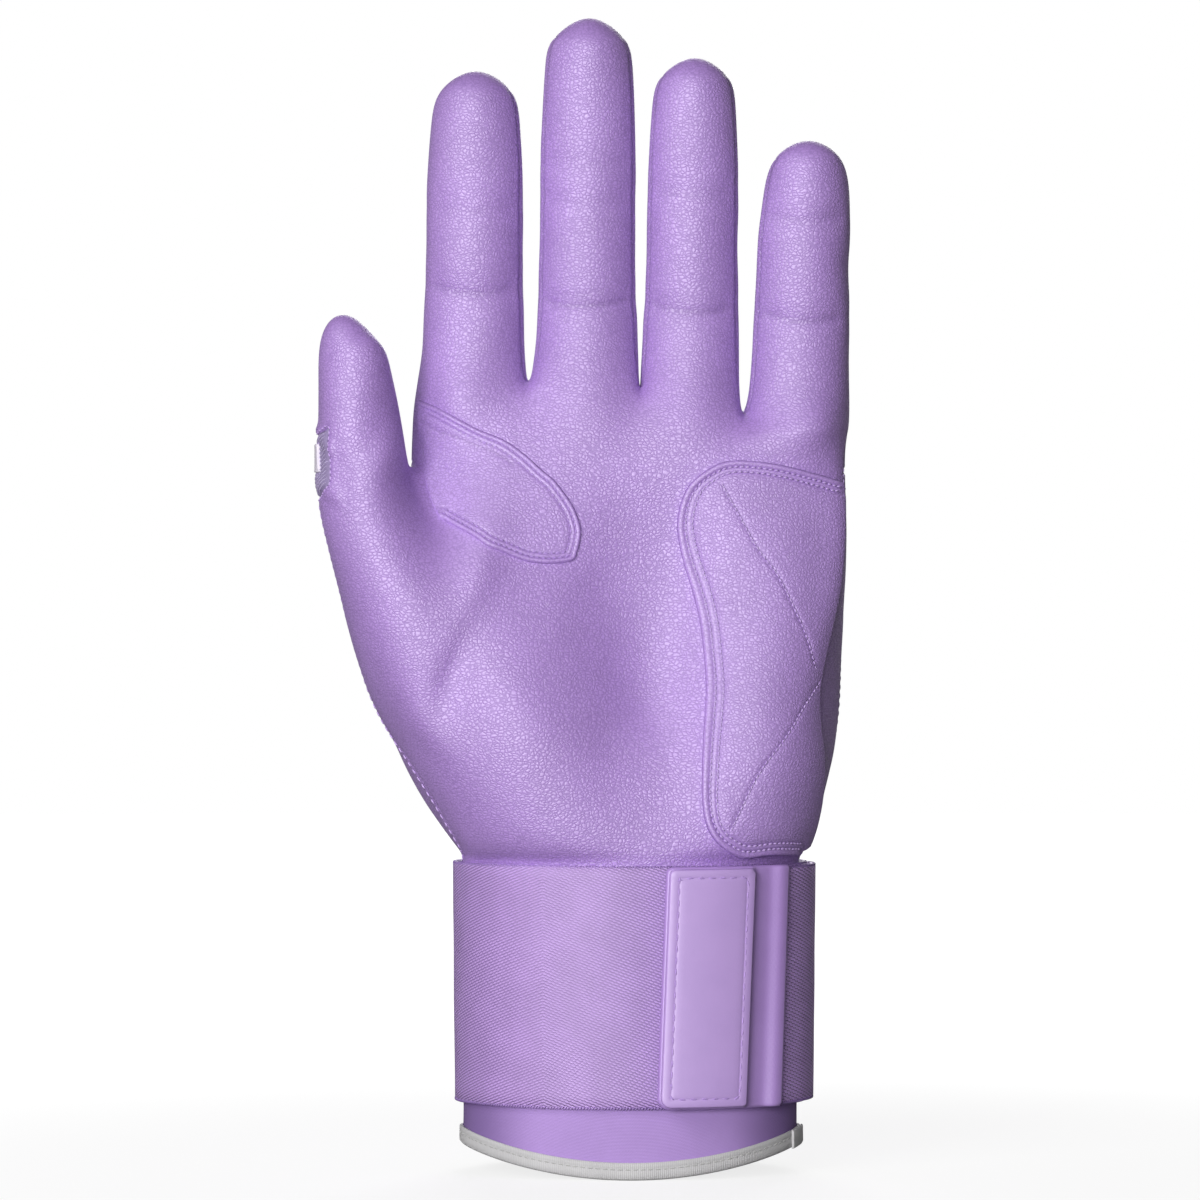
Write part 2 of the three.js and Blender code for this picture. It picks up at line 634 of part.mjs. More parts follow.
function toSolid(geometry) {
  const position = geometry.getAttribute("position");
  const triVerts = new Uint32Array(geometry.getIndex().array);
  return new wasm.Manifold(new wasm.Mesh({ numProp: 3, vertProperties: new Float32Array(position.array), triVerts }));
}
function fromSolid(solid) {
  const mesh = solid.getMesh();
  const geometry = new THREE.BufferGeometry();
  geometry.setAttribute("position", new THREE.BufferAttribute(mesh.vertProperties, 3));
  geometry.setIndex(new THREE.BufferAttribute(mesh.triVerts, 1));
  return geometry;
}

const glove = new THREE.Group();
glove.name = "glove";
function addPiece(name, geometry, material, parent = glove) {
  const mesh = new THREE.Mesh(geometry, material);
  mesh.name = name;
  parent.add(mesh);
  return mesh;
}

const facesOf = (piece) => skin.faces.filter((face) => face.pieces[0] === piece);
const panels = [
  ["palm_leather", leatherThickness, looks.palm],
  ["back_leather", leatherThickness, looks.back],
  ["side_panel", leatherThickness, looks.back],
  ["thumb_back", leatherThickness, looks.back],
  ["knuckle_flex", stretchThickness, looks.ribbed],
  ["thumb_flex", stretchThickness, looks.ribbed],
];
fingerShares.forEach(({ name }) => panels.push([backName(name), leatherThickness, looks.back]));
webShares.forEach((_, i) => panels.push([stripName(i), stretchThickness, looks.back]));
panels.forEach(([piece, thickness, look]) => {
  addPiece(piece, sheet(facesOf(piece), -thickness, 0, seamGap / 2), look);
});

// A cutting prism: an outline in the XZ plane, run through the part along Y, or an outline
// in the YZ plane run along X
function prism(outline, alongX) {
  const shape = new THREE.Shape(outline.map(([a, b]) => new THREE.Vector2(a, b)));
  const reach = palmDepth + wristHalfDepth + thumbDepth + thumbReach;
  const geometry = new THREE.ExtrudeGeometry(shape, { depth: reach, bevelEnabled: false });
  geometry.rotateX(quarter);
  if (alongX) geometry.rotateZ(-quarter);
  geometry.deleteAttribute("normal");
  geometry.deleteAttribute("uv");
  return toSolid(mergeVertices(geometry));
}

// A reinforcement that lies on the skin, cut to an outline
function layOn(faces, thickness, outline, alongX = false) {
  const solid = toSolid(sheet(faces, layGap, layGap + thickness, seamGap / 2));
  return fromSolid(solid.intersect(prism(outline, alongX)));
}
const middleOf = (face) => {
  const sum = new THREE.Vector3();
  face.corners.forEach((n) => sum.add(skin.points[n]));
  return sum.divideScalar(4);
};
const cornerOf = (pad) => [pad.leftShare * palmWidth, upAt(pad.bottomShare)];
function outlineOf(pad) {
  const [left, bottom] = cornerOf(pad);
  return pad.outlineShares.map(([across, up]) => [left + across * pad.width, bottom + up * pad.height]);
}
function facesUnder(pad, margin) {
  const [left, bottom] = cornerOf(pad);
  return facesOf("palm_leather").filter((face) => {
    const middle = middleOf(face);
    const across = middle.x > left - margin && middle.x < left + pad.width + margin;
    return across && middle.z > bottom - margin && middle.z < bottom + pad.height + margin;
  });
}

const palmFacing = facesUnder(heelPad, netMargin);
addPiece("heel_pad", layOn(palmFacing, overlayThickness, outlineOf(heelPad)), looks.palm);
const webFacing = facesUnder(webPatch, netMargin).filter((face) => {
  return face.corners.every((n) => skin.normals[n].y < 0);
});
addPiece("thumb_web_patch", layOn(webFacing, overlayThickness, outlineOf(webPatch)), looks.palm);

// The bare tag on the outer side of the thumb's ribbed insert
const tagMiddle = upAt(thumbRootShare) + tag.upShare * thumbLength;
const tagForward = tag.forwardShare * thumbDepth;
const tagOutline = [
  [tagForward - tag.width / 2, tagMiddle - tag.height / 2],
  [tagForward + tag.width / 2, tagMiddle - tag.height / 2],
  [tagForward + tag.width / 2, tagMiddle + tag.height / 2],
  [tagForward - tag.width / 2, tagMiddle + tag.height / 2],
];
addPiece("thumb_tag", layOn(facesOf("thumb_flex"), tag.thickness, tagOutline, true), looks.tag);

// A point near the wrist's oval: a place round it, a distance out from it and a height
function nearWrist(share, out, up) {
  const angle = share * 2 * Math.PI;
  const normal = new THREE.Vector2(wristHalfDepth * Math.cos(angle), wristHalfWidth * Math.sin(angle));
  normal.normalize().multiplyScalar(out);
  const x = wristHalfWidth * Math.cos(angle) + normal.x;
  return new THREE.Vector3(x, wristHalfDepth * Math.sin(angle) + normal.y, up);
}
// The place that lies a given length further round the oval
function shareAfter(share, length) {
  const step = 0.001;
  const pace = nearWrist(share, 0, 0).distanceTo(nearWrist(share + step, 0, 0)) / step;
  return share + length / pace;
}

// A solid that follows the oval. Its section is a closed outline of [out, up] pairs that
// runs anticlockwise with out to the right.
function follow(shares, sectionAt, { closed = false, lean = () => 0 } = {}) {
  const points = [];
  const triangles = [];
  const sections = shares.map((share, i) => sectionAt(share, i));
  const count = sections[0].length;
  sections.forEach((section, i) => {
    section.forEach(([out, up]) => points.push(nearWrist(shares[i] + lean(up), out, up)));
  });
  const spans = closed ? shares.length : shares.length - 1;
  for (let i = 0; i < spans; i++) {
    const here = i * count;
    const there = ((i + 1) % shares.length) * count;
    for (let k = 0; k < count; k++) {
      const next = (k + 1) % count;
      triangles.push(here + k, there + k, there + next, here + k, there + next, here + next);
    }
  }
  if (!closed) {
    const flat = sections[0].map(([out, up]) => new THREE.Vector2(out, up));
    const end = (shares.length - 1) * count;
    THREE.ShapeUtils.triangulateShape(flat, []).forEach(([a, b, c]) => {
      triangles.push(a, b, c, end + a, end + c, end + b);
    });
  }
  return geometryOf(points, triangles);
}
const block = (inner, outer, bottom, top) => [[inner, bottom], [outer, bottom], [outer, top], [inner, top]];
const allRound = Array.from({ length: ringSegments }, (_, i) => i / ringSegments);
const between = (from, to, steps) => {
  return Array.from({ length: steps + 1 }, (_, i) => THREE.MathUtils.lerp(from, to, i / steps));
};

// The sleeve, and the tape that binds its edge
const hemAt = (share) => hemBow * Math.cos(share * 2 * Math.PI) ** 2;
const sleeveOut = -sleeveInset;
const lappedOut = -leatherThickness - sleeveEase;
const lapStart = cuffHeight - sleeveLap - layGap;
addPiece(
  "cuff_sleeve",
  follow(
    allRound,
    (share) => {
      const edge = hemAt(share) + binding.thickness + layGap;
      return [
        [sleeveOut - sleeveWall, edge],
        [sleeveOut, edge],
        [sleeveOut, lapStart - sleeveStep],
        [lappedOut, lapStart],
        [lappedOut, cuffHeight - sleeveTop],
        [lappedOut - sleeveWall, cuffHeight - sleeveTop],
        [lappedOut - sleeveWall, lapStart - sleeveStep / 2],
        [sleeveOut - sleeveWall, lapStart - 2 * sleeveStep],
      ];
    },
    { closed: true },
  ),
  looks.sleeve,
);
addPiece(
  "cuff_binding",
  follow(
    allRound,
    (share) => {
      const low = hemAt(share);
      const top = low + binding.height;
      const outer = sleeveOut + layGap;
      const inner = sleeveOut - sleeveWall - layGap;
      return [
        [inner - binding.thickness, top],
        [inner - binding.thickness, low],
        [outer + binding.thickness, low],
        [outer + binding.thickness, top],
        [outer, top],
        [outer, low + binding.thickness],
        [inner, low + binding.thickness],
        [inner, top],
      ];
    },
    { closed: true },
  ),
  looks.tape,
);

// The band, the strap and its tab all narrow a little towards the cuff's edge
const bandBottom = cuffHeight - band.height;
const wrap = (layer, thickness, bottom, top) => {
  const drawnIn = (up) => (band.taper * (cuffHeight - up)) / band.height;
  return block(layer, layer + thickness, bottom, top).map(([out, up]) => [out - drawnIn(up), up]);
};
addPiece(
  "wrist_band",
  follow(allRound, () => wrap(layerAt.band, band.thickness, bandBottom, cuffHeight), { closed: true }),
  looks.elastic,
);

// The tab leans, and its free end is rounded
const leanAt = (up) => -(shareAfter(0.8, tab.lean) - 0.8) * ((cuffHeight - up) / band.height);
function roundedEnd(from, to, corner, steps) {
  const cuts = [0, 0.12, 0.4, 1].map((cut) => shareAfter(from, cut * corner));
  return [...cuts, ...between(cuts[cuts.length - 1], to, steps).slice(1)];
}
function cornerCut(share, from, corner) {
  const far = 1 - Math.min((share - from) / (shareAfter(from, corner) - from), 1);
  return corner * (1 - Math.sqrt(Math.max(1 - far * far, 0)));
}
const strapEnd = shareAfter(tabSeamShare, -tab.overlap);
const pileEnd = shareAfter(strapEnd, -layGap * 2);
const pileTip = shareAfter(tabTipShare, pile.inset);
addPiece(
  "loop_patch",
  follow(between(pileTip, pileEnd, tabSteps), () => {
    return wrap(layerAt.loop, pile.thickness, bandBottom + pile.inset, cuffHeight - pile.inset);
  }),
  looks.pile,
);
addPiece(
  "strap_elastic",
  follow(between(strapEnd, anchorShare, strapSteps), () => {
    return wrap(layerAt.strap, strapThickness, bandBottom + strapInset, cuffHeight - strapInset);
  }),
  looks.elastic,
);
addPiece(
  "strap_end",
  follow(
    roundedEnd(tabTipShare, tabSeamShare, tab.corner, tabSteps),
    (share) => {
      const cut = cornerCut(share, tabTipShare, tab.corner);
      return wrap(layerAt.tab, tab.thickness, bandBottom + cut, cuffHeight - cut);
    },
    { lean: leanAt },
  ),
  looks.palm,
);
addPiece(
  "hook_patch",
  follow(between(pileTip, pileEnd, tabSteps), () => {
    return wrap(layerAt.hook, pile.thickness, bandBottom + pile.inset, cuffHeight - pile.inset);
  }),
  looks.pile,
);
const rubberTip = shareAfter(tabTipShare, rubber.inset);
addPiece(
  "pull_patch",
  follow(
    roundedEnd(rubberTip, shareAfter(rubberTip, rubber.width), rubber.corner, tabSteps - 2),
    (share) => {
      const cut = cornerCut(share, rubberTip, rubber.corner) + rubber.inset;
      return wrap(layerAt.rubber, rubber.thickness, bandBottom + cut, cuffHeight - cut);
    },
    { lean: leanAt },
  ),
  looks.rubber,
);

export default glove;
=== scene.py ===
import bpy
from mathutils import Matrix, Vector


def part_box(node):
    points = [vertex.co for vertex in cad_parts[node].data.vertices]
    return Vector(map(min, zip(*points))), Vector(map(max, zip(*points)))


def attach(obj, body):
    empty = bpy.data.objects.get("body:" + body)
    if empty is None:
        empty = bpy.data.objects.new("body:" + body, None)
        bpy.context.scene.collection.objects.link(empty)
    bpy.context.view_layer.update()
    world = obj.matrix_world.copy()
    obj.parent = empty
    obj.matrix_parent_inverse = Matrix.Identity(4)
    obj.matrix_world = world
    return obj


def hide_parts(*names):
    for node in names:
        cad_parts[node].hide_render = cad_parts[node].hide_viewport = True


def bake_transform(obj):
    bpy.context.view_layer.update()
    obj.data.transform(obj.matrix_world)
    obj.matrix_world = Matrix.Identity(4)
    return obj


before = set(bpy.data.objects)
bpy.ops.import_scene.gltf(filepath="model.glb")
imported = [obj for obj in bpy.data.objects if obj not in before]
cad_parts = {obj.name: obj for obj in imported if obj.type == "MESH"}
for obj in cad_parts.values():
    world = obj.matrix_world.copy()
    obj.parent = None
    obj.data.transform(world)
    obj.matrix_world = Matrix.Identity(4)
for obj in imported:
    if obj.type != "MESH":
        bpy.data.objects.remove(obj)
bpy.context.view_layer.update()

import math
from functools import partial

import bpy
import numpy as np
from mathutils import Vector, noise
from mathutils.bvhtree import BVHTree
from mathutils.geometry import delaunay_2d_cdt
from mathutils.kdtree import KDTree

scene = bpy.context.scene
scene.view_settings.view_transform = "Standard"
mm = 0.001
sideCamera = "photoCamera"

view = {
    "pixel": 0.216,  # millimetres at the wrist's axis
    "photoSize": 1200,
    "axisColumn": 630,
    "groundRow": 1168.4,
    "distance": 1200,
    "sensor": 36,
}
viewPoint = np.array([
    (view["photoSize"] / 2 - view["axisColumn"]) * view["pixel"],
    -view["distance"],
    (view["groundRow"] - view["photoSize"] / 2) * view["pixel"],
])
studio = {
    "floorRadius": 2.0,
    "floorSides": 64,
    "floorTones": (0.2, 0.85),  # as it lights the glove and as it is seen
    "floorGlow": 1.12,
    "glowShare": (0.1, 0.42, 0.72, 1.0),  # distances from the glove, and the glow's share there
    "ambient": (0.5, -0.2, 0.09, 0.05),  # directions behind and before the glove, and their levels
    "mirrored": (0.98, 0.8, 1.0, 0.1),
    "lamps": {  # place, size and power
        "keyLight": ((-0.7, -1.0, 0.75), (0.6, 0.6), 5.2),
        "frontLight": ((-0.35, -1.3, 0.21), (0.8, 0.36), 15.4),
        "leftRim": ((-0.8, 0.5, 0.25), (0.3, 0.9), 0.3),
        "rightRim": ((0.8, 0.5, 0.25), (0.3, 0.9), 0.25),
        "backLight": ((0.12, 1.25, 0.75), (0.8, 0.8), 13),
    },
}


# Small helpers for node trees. A value is a number or vector, or another node's socket.
def feed(tree, node, inputs):
    for key, value in inputs.items():
        if isinstance(value, bpy.types.NodeSocket):
            tree.links.new(value, node.inputs[key])
        else:
            node.inputs[key].default_value = value


def addNode(tree, kind, inputs=None, **settings):
    node = tree.nodes.new(kind)
    for key, value in settings.items():
        setattr(node, key, value)
    feed(tree, node, inputs or {})
    return node


def calc(tree, operation, *values):
    return addNode(tree, "ShaderNodeMath", dict(enumerate(values)), operation=operation).outputs[0]


def vectorCalc(tree, operation, *values, **named):
    inputs = {**dict(enumerate(values)), **named}
    node = addNode(tree, "ShaderNodeVectorMath", inputs, operation=operation)
    return node.outputs["Value" if operation in ("DOT_PRODUCT", "LENGTH") else "Vector"]


def remap(tree, value, low, high, toLow=0.0, toHigh=1.0, shape="SMOOTHSTEP"):
    inputs = {"Value": value, "From Min": low, "From Max": high, "To Min": toLow, "To Max": toHigh}
    return addNode(tree, "ShaderNodeMapRange", inputs, interpolation_type=shape).outputs["Result"]


def pickBy(tree, share, low, high):
    return remap(tree, share, 0.0, 1.0, low, high, shape="LINEAR")


def axisOf(tree, vector, axis):
    return addNode(tree, "ShaderNodeSeparateXYZ", {"Vector": vector}).outputs[axis]


def startGroup(name, inputs, outputs, kind="ShaderNodeTree"):
    tree = bpy.data.node_groups.new(name, kind)
    for way, sockets in (("INPUT", inputs), ("OUTPUT", outputs)):
        for title, socket in sockets.items():
            tree.interface.new_socket(title, in_out=way, socket_type="NodeSocket" + socket)
    return tree, addNode(tree, "NodeGroupInput").outputs, addNode(tree, "NodeGroupOutput")


def useGroup(tree, group, inputs):
    return addNode(tree, "ShaderNodeGroup", inputs, node_tree=group).outputs


def emptyTree(owner):
    owner.use_nodes = True
    owner.node_tree.nodes.clear()
    return owner.node_tree


def addObject(name, data):
    placed = bpy.data.objects.new(name, data)
    scene.collection.objects.link(placed)
    return placed


def makeCamera():
    data = bpy.data.cameras.new(sideCamera)
    data.sensor_width = view["sensor"]
    data.lens = view["sensor"] * view["distance"] / (view["photoSize"] * view["pixel"])
    data.clip_start, data.clip_end = 0.01, 50
    camera = addObject(sideCamera, data)
    camera.location = Vector(viewPoint) * mm
    camera.rotation_euler = (math.pi / 2, 0, 0)
    scene.camera = camera


def makeLamp(name, place, size, power):
    data = bpy.data.lights.new(name, "AREA")
    data.shape = "RECTANGLE"
    data.size, data.size_y = size
    data.energy = power
    lamp = addObject(name, data)
    lamp.location = place
    aim = Vector((0, 0, viewPoint[2] * mm)) - Vector(place)
    lamp.rotation_euler = aim.to_track_quat("-Z", "Y").to_euler()


# The world is white to the camera and in reflections, and dimmer as a light
def makeWorld():
    scene.world = bpy.data.worlds.new("studioWorld")
    tree = emptyTree(scene.world)
    path = addNode(tree, "ShaderNodeLightPath").outputs
    behind = axisOf(tree, addNode(tree, "ShaderNodeTexCoord").outputs["Generated"], "Y")
    levels = [remap(tree, behind, *studio[key], shape="LINEAR") for key in ("ambient", "mirrored")]
    strength = pickBy(tree, path["Is Camera Ray"], pickBy(tree, path["Is Glossy Ray"], *levels), 1.0)
    background = addNode(tree, "ShaderNodeBackground", {"Color": (1, 1, 1, 1), "Strength": strength})
    addNode(tree, "ShaderNodeOutputWorld", {"Surface": background.outputs[0]})


# The floor takes the glove's shadow and turns to plain white further out
def makeFloor():
    radius, sides = studio["floorRadius"], studio["floorSides"]
    turns = np.linspace(0, 2 * math.pi, sides, endpoint=False)
    rim = [(radius * math.cos(a), radius * math.sin(a), 0) for a in turns]
    mesh = bpy.data.meshes.new("studioFloor")
    mesh.from_pydata(rim, [], [list(range(sides))])
    floor = addObject("studioFloor", mesh)
    material = bpy.data.materials.new("paleFloor")
    tree = emptyTree(material)
    seen = addNode(tree, "ShaderNodeLightPath").outputs["Is Camera Ray"]
    matte = addNode(tree, "ShaderNodeBsdfDiffuse", {"Color": pickBy(tree, seen, *studio["floorTones"])})
    glow = addNode(tree, "ShaderNodeEmission", {"Strength": studio["floorGlow"]})
    away = vectorCalc(tree, "LENGTH", addNode(tree, "ShaderNodeTexCoord").outputs["Object"])
    share = calc(tree, "MULTIPLY", remap(tree, away, *studio["glowShare"]), seen)
    mix = addNode(tree, "ShaderNodeMixShader", {0: share, 1: matte.outputs[0], 2: glow.outputs[0]})
    addNode(tree, "ShaderNodeOutputMaterial", {"Surface": mix.outputs[0]})
    mesh.materials.append(material)


makeCamera()
for name, lamp in studio["lamps"].items():
    makeLamp(name, *lamp)
makeWorld()
makeFloor()
print("camera, lights and floor")


# The hand's net: a coarse mesh of four-sided faces through points on the leather. Sizes are
# the CAD model's, and places are shares of them.
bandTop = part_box("wrist_band")[1].z / mm
hand = {
    "palmLength": 99,
    "palmWidth": 93.4,
    "palmDepth": 27,
    "wristHalfWidth": 36.5,
    "wristHalfDepth": 25.5,
    "fingerFlex": 6,
    "thumbLength": 60,
    "thumbReach": 60,
    "thumbDepth": 21,
    "sleeveLap": 10,
    "webDrop": 0.16,
    "rootFront": 0.455,
    "rootBack": 0.535,
    "thumbRoot": 0.57,
    "firstRing": 0.19,
    "tipStart": 0.6,
    "rootPull": 1.5,  # how fast the palm's points draw towards the fingers' columns
    "edgeDrop": 1.7,  # of the back's corner points, in web drops
    "rootSides": (-0.5, 0.505),
    "fingerBack": 0.03,
    "flexPower": 1.6,
    "webBack": 0.02,
}
palmLevels = [
    dict(up=-hand["sleeveLap"] / hand["palmLength"], turns=(0.1, 0.1), square=2),
    dict(up=0, turns=(0.22, 0.12), square=2),
    dict(up=0.055, sides=(0.427, 0.422), deep=(0.965, 0.92), turns=(0.36, 0.16), square=2.1),
    dict(up=0.215, sides=(0.536, 0.473), deep=(0.93, 0.82), turns=(0.38, 0.36), square=2.2),
    dict(up=0.375, sides=(0.607, 0.49), deep=(0.82, 0.74), turns=(0.3, 0.48), square=2.2),
    dict(up=0.61, sides=(0.56, 0.505), deep=(0.66, 0.68), turns=(0.1, 0.3), square=2.4),
    dict(up=0.85, sides=(0.507, 0.5), deep=(0.52, 0.6), turns=(0.05, 0.18), square=2.5),
]
palmSwells = [  # across, up, spread across and up, rise
    (-0.38, 0.48, 0.2, 0.3, 0.3),
    (-0.2, 0.22, 0.24, 0.26, 0.13),
    (0.32, 0.28, 0.17, 0.32, 0.15),
    (0.05, 0.46, 0.15, 0.3, -0.25),
    (0.05, 0.93, 0.7, 0.1, 0.05),
]
backSwells = [(-0.06, 0.93, 0.5, 0.12, 0.06), (0, 0.1, 0.4, 0.13, -0.05)]
netSides = {"front": (-1, 0.7, palmSwells), "back": (1, 0.5, backSwells)}  # way, lean and swells
fingers = [
    dict(name="index", length=72.6, root=-0.363, tip=-0.355, width=0.2225, rootUp=0.985, creases=(0.4, 0.76)),
    dict(name="middle", length=82.4, root=-0.101, tip=-0.094, width=0.22, rootUp=1.0, creases=(0.34, 0.725)),
    dict(name="ring", length=76, root=0.138, tip=0.149, width=0.21, rootUp=0.98, creases=(0.39, 0.745)),
    dict(name="little", length=62, root=0.387, tip=0.411, width=0.214, rootUp=0.94, creases=(0.49, 0.83)),
]
fingerBacks = [finger["name"] + "_back" for finger in fingers]
fourchettes = [f"fourchette_{a['name']}_{b['name']}" for a, b in zip(fingers, fingers[1:])]
webs = [(-0.232, 1.05), (0.0215, 1.037), (0.257, 0.986)]
ringWidths = (1.075, 1.03, 1.0, 1.0, 0.925)
ringDepths = (1.0, 0.93, 0.95, 0.89, 0.85)
tipRing = {"down": 0.215, "width": 0.72, "depth": 0.66}
cornerTurns = (-0.84, 0, 0.84, 1.62, 2.4, math.pi, -2.4, -1.62)
thumbRings = [  # outer and inner points, middle depth and half depth
    ((1.058, 0.127), (0.795, 0.527), 0.7, 0.59),
    ((1.108, 0.36), (0.819, 0.66), 0.762, 0.524),
    ((1.108, 0.577), (0.84, 0.768), 0.833, 0.462),
    ((1.105, 0.76), (0.868, 0.868), 0.88, 0.39),
    ((1.095, 0.915), (0.922, 0.925), 0.905, 0.257),
]
thumbTip = (1.02, 0.995, 0.9)
thumbHole = {  # row from the top, side and place of the net's points round the thumb's root
    (-3, "left"): (-0.605, -0.22, 0.375),
    (-3, "front"): (-0.512, -0.92, 0.375),
    (-2, "front"): (-0.455, -0.97, 0.6),
    (-1, "front"): (-0.462, -0.37, 0.84),
    (-1, "left"): (-0.505, -0.09, 0.866),
    (-1, "back"): (-0.482, 0.24, 0.84),
    (-2, "back"): (-0.525, 0.28, 0.63),
    (-3, "back"): (-0.535, 0.33, 0.375),
}
besideThumb = (-0.35, -0.93, 0.6)
columns = 2 * len(fingers) + 1
palmWidth, palmDepth = hand["palmWidth"], hand["palmDepth"]


def upAt(share):
    return bandTop + share * hand["palmLength"]


def inPalm(across, deep, up):
    return across * palmWidth, deep * palmDepth, upAt(up)


def levelSizes(level):
    if "sides" not in level:
        wide, deep = hand["wristHalfWidth"], hand["wristHalfDepth"]
        return wide, wide, deep, deep
    left, right = (share * palmWidth for share in level["sides"])
    front, back = (share * palmDepth for share in level["deep"])
    return left, right, front, back


def onOval(level, turn):
    left, right, front, back = levelSizes(level)
    power = 2 / level["square"]
    across, deep = math.cos(turn), math.sin(turn)
    x = (right - left) / 2 + (right + left) / 2 * math.copysign(abs(across) ** power, across)
    return x, (front if deep < 0 else back) * math.copysign(abs(deep) ** power, deep)


def turnAcross(level, x):
    left, right, _, _ = levelSizes(level)
    share = min(1, max(-1, (x - (right - left) / 2) / ((right + left) / 2)))
    return math.acos(math.copysign(abs(share) ** (level["square"] / 2), share))


def swell(forms, x, z):
    total = 0
    for across, up, wide, tall, rise in forms:
        dx = (x - across * palmWidth) / (wide * palmWidth)
        dz = (z - upAt(up)) / (tall * hand["palmLength"])
        total += rise * palmDepth * math.exp(-dx * dx - dz * dz)
    return total


class HandNet:
    def __init__(self):
        self.points, self.faces, self.owners = [], [], []

    def point(self, x, y, z):
        self.points.append((x, y, z))
        return len(self.points) - 1

    def face(self, corners, owner):
        self.faces.append(corners)
        self.owners.append([owner] * 4 if isinstance(owner, str) else owner)

    def join(self, low, high, ownerAt):
        for k in range(len(low)):
            n = (k + 1) % len(low)
            self.face([low[k], low[n], high[n], high[k]], ownerAt(k))


def rootColumns():
    places = []
    for i, finger in enumerate(fingers):
        middle = finger["root"] * palmWidth
        corner = finger["width"] * palmWidth / 2 * math.sin(cornerTurns[2])
        if i == 0:
            places.append(middle - corner)
        places.append(middle)
        places.append(middle + corner if i == len(fingers) - 1 else webs[i][0] * palmWidth)
    return places


def palmRing(net, row, level, roots):
    height = upAt(level["up"])
    rooted = row / (len(palmLevels) - 1)
    leftTurn, rightTurn = level["turns"]
    free = 1 if "sides" in level else 0
    ring = {"front": [], "back": []}
    for j in range(columns):
        spread = math.pi - (j + 1) * math.pi / (columns + 1)
        aimed = turnAcross(palmLevels[-1], roots[j])
        turn = spread + (aimed - spread) * rooted ** hand["rootPull"]
        toLeft, toRight = (1 - j / (columns - 1)) ** 2, (j / (columns - 1)) ** 2
        for side, (way, lean, swells) in netSides.items():
            lean *= way
            x, y = onOval(level, way * (turn + lean * leftTurn * toLeft - lean * rightTurn * toRight))
            ring[side].append(net.point(x, y + way * free * swell(swells, x, height), height))
    ring["right"] = net.point(*onOval(level, -rightTurn), height)
    ring["left"] = net.point(*onOval(level, -math.pi + leftTurn), height)
    return ring


def rootRing(net, roots):
    drop = hand["webDrop"] * fingers[0]["width"] * palmWidth
    ring = {"front": [], "back": []}
    for j, x in enumerate(roots):
        between = j % 2 == 0 and 0 < j < columns - 1
        edge = j in (0, columns - 1)
        finger = fingers[min(j // 2, len(fingers) - 1)]
        height = upAt(webs[j // 2 - 1][1]) - drop if between else upAt(finger["rootUp"])
        frontInset = drop if between or edge else 0
        backInset = drop if between else hand["edgeDrop"] * drop if edge else 0
        ring["front"].append(net.point(x, -hand["rootFront"] * palmDepth + frontInset, height))
        ring["back"].append(net.point(x, hand["rootBack"] * palmDepth - backInset, height))
    for side, share, finger in zip(("left", "right"), hand["rootSides"], (fingers[0], fingers[-1])):
        ring[side] = net.point(*inPalm(share, 0, finger["rootUp"]))
    return ring


def inOrder(ring):
    return [*ring["front"], ring["right"], *reversed(ring["back"]), ring["left"]]


def palmFaces(net, rings):
    for row in range(len(rings) - 1):
        low, high = inOrder(rings[row]), inOrder(rings[row + 1])
        top = row == len(rings) - 2
        for k in range(len(low)):
            if row in (len(rings) - 4, len(rings) - 3) and k >= len(low) - 2:
                continue  # the thumb leaves the palm here
            n = (k + 1) % len(low)
            corners = [low[k], low[n], high[n], high[k]]
            if k == columns and not top:
                net.face(corners, "side_panel")
            elif k < columns or k == len(low) - 1:
                net.face(corners, "palm_leather")
            elif top:
                net.face(corners, fingerBacks[min(3, max(0, (2 * columns - 1 - k) // 2))])
            elif row == len(rings) - 3 and columns < k < 2 * columns:
                net.face(corners, ["back_leather"] * 2 + ["knuckle_flex"] * 2)
            else:
                net.face(corners, "back_leather")


